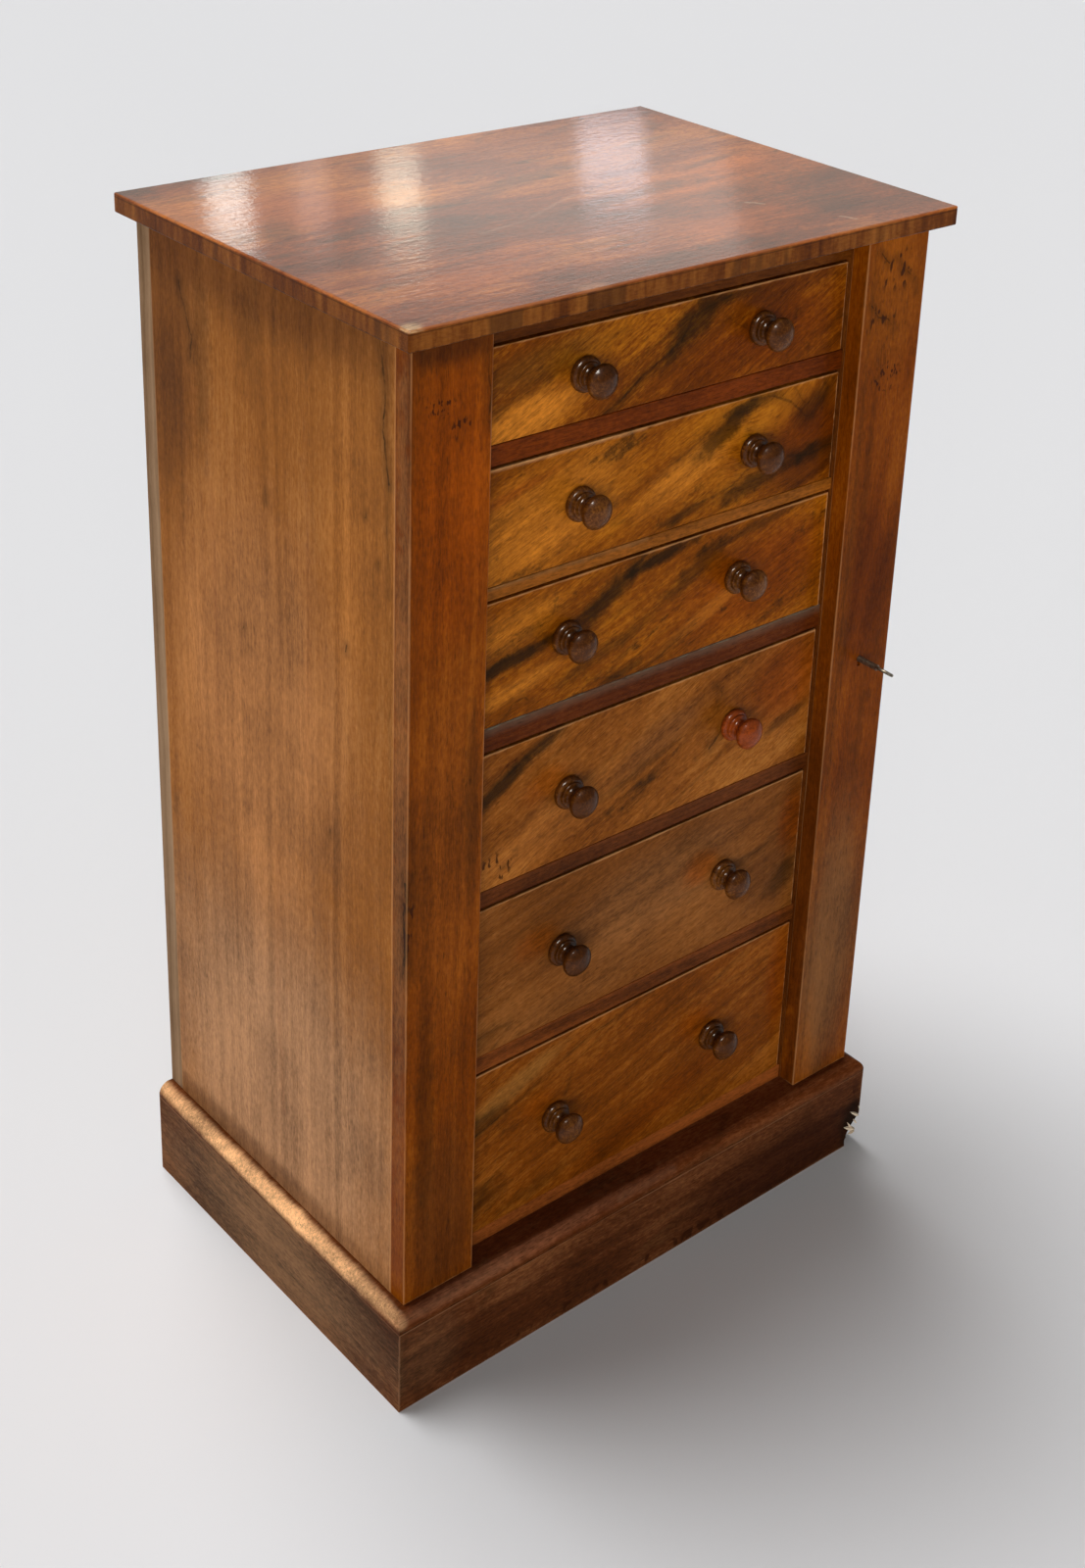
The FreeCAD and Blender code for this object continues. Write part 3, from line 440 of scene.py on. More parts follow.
def finish_wood(g, look, colour, parts, pores):
    """Give the wood its roughness, its relief and its polish."""
    uneven = g.plus(g.times(parts["cloud"], ROUGH_CLOUD), g.times(pores, ROUGH_PORE))
    roughness = g.plus(look["rough"] + ROUGH_BASE, uneven)
    relief = g.plus(parts["streak"], g.times(parts["grit"], RELIEF_GRIT))
    relief = g.plus(relief, g.times(pores, RELIEF_PORE))
    crinkle = g.plus(g.texture("crinkle", g.place), g.times(parts["streak"], POLISH_STREAK))
    g.feed(g.shader.inputs["Coat Normal"], g.bump(crinkle, look["coat_relief"]))
    if look["gloss_from"]:
        height = look["gloss_from"]
        polished = g.smooth(g.axes[2], height - MM, height, 0.0, look["coat"])
        g.feed(g.shader.inputs["Coat Weight"], polished)
    return g.finish(
        colour, roughness, relief, look["relief"], Specular_IOR_Level=look["specular"],
        Coat_Weight=look["coat"], Coat_Roughness=look["coat_rough"])


def wood(name, over=None, **changes):
    """Return a wood material; over may change its colour last, from the graph and its noises."""
    look = {**WALNUT, **changes}
    weights = {**WALNUT["weights"], **look["weights"]}
    g = Graph(name)
    grain, sway = grain_field(g, look)
    parts = grain_parts(g, look, grain)
    tone = g.fold("ADD", [0.5 - sum(weights.values()) / 2] + [
        g.times(parts[key], weight) for key, weight in weights.items()])
    stain = g.texture("stain", grain)
    colour = draw_figure(g, look, parts, tone, stain)

    offset = g.vector("ADD", g.scaled(sway, (MARK_SWAY,) * 3),
                      g.jitter("outline", g.place, OUTLINE_WOBBLE))
    marks_at = g.vector("ADD", g.place, offset)
    colour = add_marks(g, look, colour, tone, marks_at, stain, parts["fibre"])

    pores = g.smooth(g.texture("pore", grain), *RANGES["pore"])
    colour = g.mix(g.times(pores, look["pore_amount"]), colour, look["smoke"])
    if look["box"]:
        colour = wear_edges(g, look, colour, parts["streak"])
    if over:
        colour = over(g, colour, parts)
    return finish_wood(g, look, colour, parts, pores)


def dress(material, *names):
    """Give a material to CAD nodes."""
    for name in names:
        mesh = NODES[name].data
        mesh.materials.clear()
        mesh.materials.append(material)


FAR_BELOW = 0.05


def upper_edges(name):
    """Return a node's box lengthened downwards, so that only its upper edges count as edges."""
    low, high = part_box(name)
    return (low[0], low[1], low[2] - FAR_BELOW), tuple(high)


ORANGE = rgb(146, 68, 6)
AMBER = rgb(118, 51, 0)
GOLD = rgb(188, 114, 32)
OLIVE = rgb(112, 72, 20)
# A grey haze that some fronts show in their middles: a painted reflection, also the colour of thin
# grey lines on the fifth front
GREY_SHEEN = rgb(124, 80, 42)
DUST = rgb(168, 124, 88)
PALE = rgb(226, 196, 160)
RUST = rgb(112, 52, 18)
PIT = rgb(48, 20, 4)

# Each drawer front: the tilt of its grain, where in the log it was cut, and its own marks. Most
# marks start with centre, radii and tilt. A patch ends with colour and strength, a blotch with
# strength, a pit with how close its holes stand, and a bulge with its lift. A stroke has width,
# strength, colour (None is smoke) and points.
FRONTS = {
    1: dict(
        tilt=27, seed=(1.1, 0.3, 0.2), pith=(0.06, 0.02), middle=rgb(118, 58, 4),
        patches=[
            (-165, 944, 90, 28, 14, GOLD, 0.85), (-150, 990, 90, 24, 10, OLIVE, 0.45),
            (110, 960, 150, 48, 10, rgb(102, 43, 0), 0.80),
            (150, 1006, 110, 16, 8, rgb(86, 38, 4), 0.70)],
        blotches=[
            (24, 990, 66, 28, 35, 0.75), (0, 968, 50, 14, 40, 0.60), (70, 1008, 66, 12, 5, 0.55)],
        strokes=[
            (5, 0.80, None, ((-78, 930), (-60, 941), (-37, 956), (-10, 969), (5, 978), (14, 990),
                             (18, 999), (40, 1004), (63, 1009))),
            (3, 0.50, None, ((-70, 932), (-48, 948), (-24, 961))),
            (3, 0.35, None, ((48, 984), (62, 988), (92, 968), (120, 955), (143, 947))),
            (4, 0.40, None, ((-212, 953), (-170, 965), (-132, 978), (-105, 990), (-60, 1001)))]),
    2: dict(
        tilt=22, seed=(2.3, 0.6, 0.1), pith=(0.05, 0.06),
        bulges=[(150, 860, 90, 60, 0, 30)],
        patches=[
            (-140, 850, 130, 66, 18, GOLD, 0.60), (-170, 882, 70, 8, 14, rgb(130, 58, 8), 0.5),
            (20, 852, 90, 26, 24, GOLD, 0.6), (176, 850, 84, 70, 8, rgb(88, 34, 0), 0.85),
            (180, 818, 80, 18, 8, rgb(80, 36, 2), 0.7)],
        blotches=[
            (66, 882, 74, 18, 32, 0.80), (118, 826, 100, 16, 14, 0.75), (14, 810, 44, 9, 16, 0.6),
            (100, 900, 70, 11, 8, 0.60), (186, 836, 50, 16, 10, 0.60),
            (178, 884, 40, 18, 40, 0.40)],
        strokes=[
            (5, 0.60, None, ((10, 866), (24, 873), (45, 886), (66, 898), (90, 904), (116, 904),
                             (140, 896), (158, 884), (170, 873), (178, 873), (187, 882),
                             (194, 893), (201, 904))),
            # A pale line along the top edge's left half: worn arris, partly a painted highlight.
            (1.3, 0.90, rgb(222, 170, 116), ((-212, 907.8), (-30, 907.8))),
            (3, 0.45, None, ((152, 905), (160, 893), (171, 885), (184, 891))),
            (5, 0.65, None, ((116, 838), (97, 836), (80, 825), (55, 820), (27, 817), (8, 807))),
            (6, 0.75, None, ((122, 851), (150, 838), (176, 833), (208, 837))),
            (5, 0.60, None, ((96, 872), (106, 866), (114, 862)))]),
    3: dict(
        tilt=19, seed=(3.7, 0.2, 0.5), pith=(0.05, 0.04), middle=rgb(130, 67, 4),
        patches=[
            (120, 725, 140, 66, 10, AMBER, 0.75), (-165, 758, 70, 28, 12, GOLD, 0.55),
            (-165, 697, 80, 14, 12, GOLD, 0.6), (60, 706, 90, 12, 24, GOLD, 0.35)],
        blotches=[
            (-165, 726, 80, 12, 10, 0.85), (-62, 757, 90, 20, 34, 0.80),
            (-4, 777, 66, 11, 8, 0.90), (-66, 704, 100, 14, 16, 0.45), (120, 777, 96, 10, 8, 0.55),
            (-40, 676, 56, 8, 16, 0.6), (40, 752, 70, 15, 30, 0.55)],
        strokes=[
            (8, 0.60, None, ((-212, 721), (-182, 727), (-150, 731), (-118, 738), (-85, 748),
                             (-53, 762), (-34, 777), (-20, 784))),
            (5, 0.65, None, ((-84, 680), (-50, 673), (-28, 669), (0, 675), (20, 686))),
            (4, 0.60, None, ((-181, 669), (-168, 683), (-155, 686), (-145, 676))),
            (3, 0.30, None, ((-120, 716), (-80, 706), (-40, 714), (0, 733), (60, 750),
                             (110, 763))),
            (1, 0.50, None, ((200, 668), (201, 700), (200, 760), (201, 786)))]),
    4: dict(
        tilt=24, seed=(4.9, 0.9, 0.4), pith=(0.07, 0.05), middle=rgb(134, 75, 20),
        light=rgb(182, 116, 48),
        patches=[
            (178, 600, 90, 66, 10, AMBER, 0.75), (-128, 590, 36, 22, 20, ORANGE, 0.40),
            # The grey haze in the middle of this front is a painted reflection.
            (-120, 545, 130, 40, 20, rgb(150, 90, 36), 0.45), (10, 590, 90, 26, 24, GREY_SHEEN, 0.40)],
        blotches=[
            (-180, 604, 66, 14, 30, 0.80), (-135, 632, 56, 9, 22, 0.65),
            (175, 556, 50, 10, 16, 0.55), (-20, 562, 96, 9, 20, 0.35)],
        strokes=[
            (5, 0.65, None, ((-208, 594), (-193, 602), (-175, 612), (-158, 622), (-138, 631),
                             (-112, 641))),
            (3, 0.35, None, ((-120, 560), (-90, 574), (-60, 583), (-20, 600), (24, 611))),
            (3, 0.35, None, ((-104, 547), (-70, 552), (-40, 556), (0, 571), (40, 580),
                             (72, 590))),
            (3, 0.50, None, ((78, 622), (87, 610), (82, 594))),
            (5, 0.80, None, ((88, 569), (80, 561), (74, 556)))],
        pits=[(-184, 522, 34, 22, 20, 190)]),
    5: dict(
        tilt=15, seed=(5.3, 0.1, 0.8), pith=(0.09, 0.06), dark=rgb(84, 44, 10),
        middle=rgb(122, 70, 24), light=rgb(158, 100, 46), smoke_amount=0.25, rough=0.46,
        patches=[
            # The grey haze across the middle of this front is a painted reflection.
            (10, 425, 160, 66, 12, GREY_SHEEN, 0.60), (-60, 350, 160, 26, 10, rgb(116, 70, 30), 0.5),
            (-130, 424, 36, 24, 10, ORANGE, 0.45), (73, 424, 34, 24, 10, ORANGE, 0.45),
            (198, 430, 26, 60, 0, AMBER, 0.8), (170, 380, 70, 50, 10, rgb(78, 42, 14), 0.6)],
        blotches=[(190, 372, 44, 24, 34, 0.60), (-190, 345, 50, 14, 14, 0.3)],
        strokes=[
            (2.4, 0.70, None, ((104, 401), (127, 408), (145, 411), (161, 416), (180, 424),
                               (207, 437))),
            (1.0, 0.35, GREY_SHEEN, ((118, 338), (150, 352), (178, 378), (196, 406))),
            (0.8, 0.35, GREY_SHEEN, ((100, 342), (140, 352), (168, 372))),
            (0.9, 0.35, GREY_SHEEN, ((-170, 455), (-140, 466), (-95, 462), (-70, 448)))]),
    6: dict(
        tilt=18, seed=(6.1, 0.7, 0.9), pith=(0.05, 0.09), dark=rgb(70, 32, 0),
        middle=rgb(122, 62, 8), light=rgb(170, 102, 32), rough=0.44,
        patches=[
            (-150, 272, 96, 17, 20, rgb(128, 86, 36), 0.65), (-122, 236, 30, 18, 10, ORANGE, 0.35),
            (80, 238, 36, 24, 10, ORANGE, 0.45), (198, 240, 26, 90, 0, AMBER, 0.7),
            (30, 160, 150, 28, 16, AMBER, 0.45)],
        blotches=[
            (-198, 244, 50, 15, 20, 0.55), (-190, 160, 66, 28, 10, 0.45),
            (-120, 140, 90, 13, 10, 0.40)],
        strokes=[
            (2.4, 0.80, None, ((20, 305), (-21, 295), (-50, 289), (-71, 284), (-100, 272),
                               (-127, 262), (-150, 252), (-186, 240), (-212, 231))),
            (1.6, 0.80, None, ((-80, 253), (-84, 242), (-88, 232))),
            (3.5, 0.30, None, ((-60, 262), (-40, 268), (0, 280), (44, 290))),
            (3.5, 0.30, None, ((-34, 245), (20, 258), (80, 272), (146, 289))),
            (3.0, 0.25, None, ((-60, 200), (0, 216), (90, 236), (170, 252)))]),
}


def dress_fronts():
    """Drawer fronts: figured walnut, each cut from another part of the log."""
    for number, look in FRONTS.items():
        look = dict(look)
        found = marks("fronts", **{kind: look.pop(kind) for kind in MARK_KINDS if kind in look})
        turn = (0, look.pop("tilt"), 0)
        name = f"drawer_{number}_front"
        # Only the upper edges turn pale: worn arrises, partly a painted highlight where they catch
        # the light from above.
        box = upper_edges(name)
        material = wood(f"walnut_front_{number}", turn=turn, box=box, **look, **found)
        dress(material, name)
        if number == 3:
            dress(material, "drawer_3_end_slip")


# Heights on the slab's edge: where the top's colour ends, the dark joint's middle and half width,
# and where the soiled foot starts
TOP_ENDS = (1.0588, 1.0574)
JOINT_AT = 1.0566
JOINT_REACH = (0.0008, 0.0002)
FOOT_STARTS = (1.0436, 1.0424)
FOOT_RAGGED = 0.004


def banded_edge(g, colour, parts):
    """Give the slab's edges their own upright veneer, with a dark joint and a soiled foot."""
    upright = g.texture("edge_grain", g.place)
    broad = g.texture("edge_tone", g.place)
    height = g.axes[2]
    tone = g.fold("ADD", [
        g.times(upright, 0.4), g.times(broad, 0.4), g.times(parts["grit"], 0.2)])
    edge = g.ramp(tone, (
        (0.34, rgb(62, 24, 2)), (0.48, rgb(104, 54, 12)), (0.64, rgb(146, 88, 32))))
    edge = g.mix(g.smooth(broad, 0.60, 0.66, 0.0, 0.6), edge, rgb(44, 18, 4))
    colour = g.mix(g.smooth(height, *TOP_ENDS), colour, edge)
    joint = g.smooth(g.math("ABSOLUTE", g.plus(height, -JOINT_AT)), *JOINT_REACH, 0.0, 0.6)
    colour = g.mix(joint, colour, rgb(50, 18, 4))
    foot = g.plus(height, g.times(g.plus(upright, -0.5), FOOT_RAGGED))
    return g.mix(g.smooth(foot, *FOOT_STARTS, 0.0, 0.7), colour, rgb(36, 16, 4))


def dress_top():
    """The top: red glossy veneer whose dark figure runs along the chest."""
    red = rgb(122, 40, 10)
    found = marks(
        "top",
        patches=[
            (-205, 100, 90, 120, 70, red, 0.5), (-170, -120, 140, 50, 20, rgb(140, 62, 20), 0.6),
            (-105, 80, 50, 60, 30, rgb(176, 108, 40), 0.4),
            (200, -20, 170, 90, 10, rgb(170, 84, 20), 0.75),
            (130, -130, 190, 46, 6, rgb(158, 76, 26), 0.65),
            (0, -190, 300, 20, 0, rgb(104, 44, 12), 0.5),
            (60, 180, 200, 40, 4, rgb(128, 58, 24), 0.5),
            (-304, -202, 20, 14, 30, rgb(206, 164, 116), 0.95)],
        blotches=[
            (10, 70, 170, 22, 14, 0.40), (60, -20, 200, 18, 10, 0.50),
            (-130, -20, 120, 20, 8, 0.40), (210, 120, 90, 14, 14, 0.45),
            (-250, 60, 60, 24, 60, 0.40), (-60, -120, 120, 12, 8, 0.30),
            (220, 30, 90, 8, 10, 0.45)],
        strokes=[
            (3, 0.70, None, ((-150, 40), (-130, 58), (-106, 42), (-70, 40))),
            (6, 0.90, None, ((-300, 206), (-292, 219), (-286, 231))),
            (1.4, 0.35, PALE, ((-110, -40), (-60, -30), (-20, -12), (30, 10))),
            (1.2, 0.60, PALE, ((146, -92), (152, -96), (158, -104))),
            (1.2, 0.70, PALE, ((192, -172), (195, -178), (197, -184))),
            (5, 0.90, rgb(196, 140, 100), ((-132, -204), (-125, -203), (-118, -205))),
            (8, 0.90, None, ((72, -206), (75, -206), (78, -206)))])
    dress(wood(
        "walnut_top", over=banded_edge, seed=(0.4, 0.2, 0.7), box=upper_edges("top_board"),
        dark=rgb(66, 22, 4), middle=rgb(134, 58, 14), light=rgb(200, 116, 44),
        smoke=rgb(44, 20, 10), sway=0.05, zone_scale=(3.0, 11.0, 11.0),
        weights={"zone": 0.8, "streak": 0.36, "band": 0.40}, smoke_range=(0.56, 0.76),
        smoke_amount=0.60, wear=rgb(196, 124, 76), wear_width=0.0022, rough=0.34, specular=0.06,
        coat=0.9, coat_rough=0.03, coat_relief=0.00014, gloss_from=1.0596, **found), "top_board")


def dress_sides():
    """Side boards: faded walnut with upright grain, greyer and dustier towards the floor."""
    shared = dict(
        turn=(0, 90, 0), dark=rgb(104, 58, 16), middle=rgb(151, 92, 36), light=rgb(190, 129, 68),
        weights={"cloud": 0.34, "zone": 0.34, "streak": 0.13, "fibre": 0.24, "grit": 0.34},
        rough=0.5, smoke_amount=0.10, line_amount=0.06, pore_amount=0.25, wear_amount=0.35,
        ink=0.12)
    found = marks(
        "left",
        patches=[
            (20, 230, 330, 300, 0, DUST, 0.85), (40, 620, 200, 300, 0, rgb(172, 115, 68), 0.75),
            (175, 960, 80, 260, 0, rgb(100, 56, 18), 0.75),
            # The dark band along the side's top is painted shade under the slab.
            (40, 1036, 330, 70, 0, rgb(96, 52, 16), 0.70),
            (-110, 860, 60, 190, 0, rgb(168, 104, 44), 0.5),
            (100, 118, 330, 24, 0, rgb(88, 54, 30), 0.6)],
        blotches=[
            (118, 930, 22, 130, 0, 0.28), (40, 980, 26, 90, 0, 0.22), (-20, 640, 14, 160, 0, 0.12),
            (-60, 380, 14, 160, 0, 0.10)],
        strokes=[
            (4.5, 0.85, None, ((152, 998), (149, 985), (143, 976), (140, 962), (133, 952),
                               (136, 930))),
            (4.5, 0.90, None, ((-150, 1030), (-155, 985), (-152, 960), (-160, 917))),
            (3.0, 0.50, None, ((-160, 917), (-157, 880), (-159, 820))),
            (2.4, 0.35, None, ((-164, 800), (-162, 700), (-165, 600))),
            (2.6, 0.30, RUST, ((110, 900), (106, 700), (112, 480))),
            (2.0, 0.30, RUST, ((-40, 940), (-44, 760), (-38, 600))),
            (2.4, 0.30, RUST, ((10, 500), (14, 360), (8, 200))),
            (3.4, 0.85, None, ((-101, 750), (-99, 744))),
            (3, 0.80, None, ((-129, 882), (-128, 877))),
            (3, 0.80, None, ((-147, 845), (-146, 840))),
            (3, 0.60, None, ((60, 702), (62, 698))),
            (3, 0.70, None, ((20, 846), (21, 838))),
            (3, 0.60, None, ((-76, 560), (-75, 553)))])
    sides = (("side_left", (0.2, 0.9, 0.1), found), ("side_right", (1.7, 0.3, 0.4), {}))
    for name, seed, own in sides:
        dress(wood("walnut_" + name, seed=seed, box=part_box(name), **shared, **own), name)


def dress_pilasters():
    """Pilaster and stile: redder upright grain with worm holes and knocked edges."""
    shared = dict(
        turn=(0, 90, 0), dark=rgb(72, 28, 0), middle=rgb(120, 56, 2), light=rgb(160, 88, 14),
        weights={"zone": 0.4, "fibre": 0.26, "grit": 0.34}, ink=0.12, smoke_amount=0.25,
        wear_amount=0.28)
    outer_edge = (Vector((-0.292, -0.178, 0.70)), (0.002, 0.016, 0.62), (0, 0, 0))
    left = joined(marks(
        "face",
        patches=[
            (-250, 900, 60, 170, 0, rgb(140, 62, 0), 0.75),
            (-250, 560, 60, 260, 0, rgb(132, 70, 18), 0.5),
            (-250, 180, 60, 160, 0, rgb(80, 40, 10), 0.75),
            # The dark patch at the pilaster's top is painted shadow under the slab.
            (-250, 1034, 70, 26, 0, rgb(60, 26, 4), 0.8)],
        blotches=[(-226, 620, 12, 160, 0, 0.35), (-270, 300, 16, 150, 0, 0.35)],
        strokes=[
            (4, 0.80, None, ((-216, 1020), (-218, 1004), (-214, 985), (-216, 960))),
            (2, 0.40, None, ((-286, 640), (-288, 600), (-285, 560)))],
        pits=[(-264, 984, 20, 12, 0, 330), (-243, 962, 15, 13, 0, 240)]), marks(
        "left",
        strokes=[
            (7, 0.95, None, ((-186, 560), (-188, 545), (-184, 530), (-187, 500), (-183, 470))),
            (3, 0.50, None, ((-187, 1020), (-184, 980), (-187, 930)))],
        pits=[(-186, 520, 10, 50, 0, 160)]))
    left["patches"].append((outer_edge, rgb(146, 94, 48), 0.70))
    inner_edge = (Vector((0.213, -0.176, 0.30)), (0.003, 0.03, 0.52), (0, 0, 0))
    right = marks(
        "face",
        patches=[
            (250, 980, 60, 100, 0, rgb(126, 66, 8), 0.7),
            (250, 700, 60, 160, 0, rgb(88, 34, 0), 0.7),
            (250, 270, 60, 240, 0, rgb(106, 70, 38), 0.85),
            (222, 620, 14, 420, 0, rgb(118, 62, 10), 0.4)],
        blotches=[(238, 800, 8, 160, 0, 0.3), (262, 500, 8, 120, 0, 0.25)],
        strokes=[
            (3, 0.90, None, ((229, 1024), (240, 1012))),
            (3, 0.90, None, ((250, 1016), (262, 1002))),
            (3, 0.90, None, ((268, 1000), (280, 988), (282, 979))),
            (3, 0.80, None, ((222, 975), (232, 962), (246, 958), (256, 946))),
            (3, 0.80, None, ((269, 561), (271, 556))),
            (3, 0.80, None, ((252, 507), (254, 502))),
            (1.2, 0.60, None, ((222, 1040), (223, 800), (222, 500), (223, 110)))],
        pits=[(255, 1004, 36, 26, 0, 170), (238, 958, 26, 24, 0, 150), (252, 900, 24, 20, 0, 300)])
    right["patches"].append((inner_edge, rgb(86, 40, 6), 0.9))
    boards = (("left_pilaster", (0.6, 0.1, 0.2), left), ("locking_stile", (2.6, 0.4, 0.3), right))
    for name, seed, found in boards:
        dress(wood("walnut_" + name, seed=seed, box=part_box(name), **shared, **found), name)


def across_rail(z, high, tint, amount):
    """Return a patch that covers the whole length of a rail at a height."""
    return (Vector((0, -0.167, z)), (0.9, 0.05, high), (0, 0, 0)), tint, amount


def dress_rails():
    """Rails between the drawers: dark red, two of them lighter, the bottom one painted lighter
    against its shade, painted highlights along two upper arrises, and the shaded one at the top.
    """
    shared = dict(seed=(0.9, 0.5, 0.5), weights={"zone": 0.35, "band": 0.3}, ink=0.1)
    found = marks(
        "fronts",
        strokes=[
            # Pale lines along the upper arrises of two rails: painted highlights.
            (4, 0.8, rgb(104, 100, 84), ((-210, 667.4), (0, 667.4), (210, 667.4))),
            (1.6, 0.7, rgb(150, 112, 70), ((-210, 800.6), (-20, 800.6)))])
    # The bottom rail's light tint lifts it out of the shade under the lowest drawer: painted
    # light.
    rails = (
        (0.795, 0.024, rgb(130, 74, 20), 1.0), (0.3165, 0.026, rgb(112, 58, 20), 0.8),
        (0.919, 0.028, rgb(106, 44, 4), 0.7), (0.115, 0.026, rgb(132, 70, 28), 0.9),
        (0.503, 0.026, rgb(104, 56, 22), 0.6))
    found["patches"] = [across_rail(*rail) for rail in rails]
    dress(wood("walnut_rails", dark=rgb(46, 16, 2), middle=rgb(82, 34, 6), light=rgb(112, 56, 18),
               **shared, **found), "drawer_rails", "bottom_rail")
    dress(wood("walnut_top_rail", dark=rgb(44, 18, 2), middle=rgb(80, 38, 6),
               light=rgb(110, 60, 16), **shared), "top_rail")


def dress_plinth():
    """Plinth and its moulding: knocked, and worn to bare wood along the side, where the pale
    moulding is partly painted highlight; the front has painted light to the left and painted shade
    to the right.
    """
    found = joined(marks(
        "plinth",
        patches=[
            # Lighter at the left end and darker towards the right end: painted light and painted
            # shade.
            (-280, 50, 60, 60, 0, rgb(104, 68, 42), 0.6),
            (200, 30, 200, 60, 0, rgb(46, 18, 6), 0.8),
            (296, 26, 26, 50, 0, rgb(24, 12, 4), 0.95)],
        pits=[(296, 40, 20, 50, 0, 120), (30, 8, 300, 8, 0, 90)]), marks(
        "plinth_left",
        patches=[(10, 50, 300, 90, 0, rgb(112, 82, 56), 0.9)],
        strokes=[(1.5, 0.5, None, ((-180, 30), (-60, 34), (60, 28)))]))
    for name, turn in (("plinth_front", (0, 0, 0)), ("plinth_sides", (0, 0, -90))):
        dress(wood(
            "walnut_" + name, turn=turn, seed=(0.3, 0.8, 0.6), dark=rgb(44, 20, 6),
            middle=rgb(82, 42, 18), light=rgb(126, 78, 44), rough=0.55, coat=0.0,
            weights={"cloud": 0.5, "streak": 0.3, "grit": 0.5}, box=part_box(name),
            wear_amount=0.45, wear=rgb(150, 108, 76), **found), name)
    found = joined(marks(
        "plinth",
        strokes=[
            (3, 0.9, None, ((-307, 92.5), (307, 92.5))),
            (3, 0.5, rgb(170, 128, 96), ((-300, 104), (-180, 105))),
            (3, 0.5, rgb(170, 128, 96), ((-40, 105), (30, 104)))]), marks(
        "plinth_left",
        strokes=[(2.4, 0.7, None, ((-203.5, 92.5), (221, 92.5)))]))
    # Pale along the side's moulding and the front moulding's left part: worn bare wood, partly
    # painted highlight.
    found["patches"] = [
        ((Vector((-0.3035, 0.01, 0.103)), (0.012, 0.38, 0.013), (0, 0, 0)), rgb(238, 182, 128),
         0.95),
        ((Vector((-0.16, -0.197, 0.104)), (0.22, 0.010, 0.014), (0, 0, 0)), rgb(150, 92, 60), 0.7)]
    dress(wood(
        "walnut_moulding", seed=(0.8, 0.2, 0.6), dark=rgb(60, 24, 4), middle=rgb(96, 46, 16),
        light=rgb(136, 80, 42), weights={"cloud": 0.4}, rough=0.5, **found), "base_moulding")


def dress_inside():
    """Linings, back and carcase: oxidised pine, and dark brown posts beside the drawers, painted
    shade for the gaps there.
    """
    pine = dict(
        dark=rgb(120, 84, 48), middle=rgb(166, 124, 78), light=rgb(198, 160, 110),
        smoke=rgb(70, 44, 24), smoke_amount=0.1, ink=0.1, pore_amount=0.05, rough=0.65, coat=0.0,
        ring=0.007, weights={"band": 0.6, "zone": 0.3, "fibre": 0.15, "grit": 0.15})
    across = wood("pine_across", seed=(0.5, 0.4, 0.3), **pine)
    upright = wood("pine_upright", turn=(0, 90, 0), seed=(0.5, 0.4, 0.3), **pine)
    deep = wood("pine_deep", turn=(0, 0, -90), seed=(0.7, 0.2, 0.9), **pine)
    # The posts show through the gaps beside the drawers; their dark brown is painted shade for
    # those gaps.
    gap_shade = wood(
        "pine_gap_shade", turn=(0, 90, 0), seed=(0.5, 0.4, 0.3), dark=rgb(60, 26, 4),
        middle=rgb(98, 48, 12), light=rgb(136, 74, 24), coat=0.0)
    faded = {
        **pine, "dark": rgb(98, 72, 48), "middle": rgb(138, 108, 80), "light": rgb(164, 134, 104)}
    dress(across, "plinth_back", "bottom_board", "dustboards", "drawer_stops",
          *[f"drawer_{n}_back" for n in DRAWERS], *[f"drawer_{n}_bottom" for n in DRAWERS])
    dress(upright, "back_panels", "plinth_blocks")
    dress(wood("pine_faded", turn=(0, 90, 0), seed=(0.1, 0.4, 0.3), **faded), "back_frame")
    dress(gap_shade, "left_post", "right_post")
    dress(deep, "drawer_runners", "drawer_guides", *[f"drawer_{n}_sides" for n in DRAWERS])


def metal(name, scale, dull, bright, metallic):
    """Return a metal material, blotched dull and bright by age, scale blotches to the metre."""
    g = Graph(name)
    cloud = g.noise(g.scaled(g.place, (scale,) * 3), 4.0, 0.6)
    aged, polished = 0.3, 0.7
    colour = g.ramp(cloud, ((aged, dull), (polished, bright)))
    roughness = g.smooth(cloud, aged, polished, 0.52, 0.3)
    return g.finish(colour, roughness, cloud, 0.0001, Metallic=metallic)


def dress_small():
    """Knobs, one of them newer and redder, and metal."""
    newer = (Vector((0.102, -0.184, 0.5739)), (0.05, 0.05, 0.05), (0, 0, 0))
    dress(wood(
        "walnut_knob", turn=(0, 0, -90), seed=(0.1, 0.6, 0.2), dark=rgb(30, 13, 2),
        middle=rgb(78, 40, 8), light=rgb(138, 84, 30), rough=0.40, specular=0.04, coat=0.28,
        coat_rough=0.14, line_amount=0.1, patches=[(newer, rgb(128, 54, 14), 0.9)]),
        *[f"drawer_{n}_knobs" for n in DRAWERS])
    brass = metal("old_brass", 90.0, rgb(84, 62, 32), rgb(170, 134, 72), 1.0)
    dress(brass, "hinge_fixed_leaves", "hinge_moving_leaves", "hinge_pins", "lock_case",
          "lock_staple", "lock_bolt")
    dress(metal("key_steel", 260.0, rgb(70, 62, 52), rgb(150, 140, 122), 0.9), "key")


def add_object(name, data):
    """Add an object to the scene."""
    item = bpy.data.objects.new(name, data)
    bpy.context.scene.collection.objects.link(item)
    return item


def add_piece(name, mesh):
    """Add a piece of the carcase that the CAD model leaves out."""
    piece = add_object(name, mesh)
    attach(piece, "root")
    return piece


# The hollow that breaks the plinth's front right corner away
HOLLOW_AT = (0.330, -0.226, -0.001)
HOLLOW_RADIUS = 0.048
HOLLOW_RAGGED = 0.020
HOLLOW_DIVISIONS = 5
HOLLOW_SEED = 5


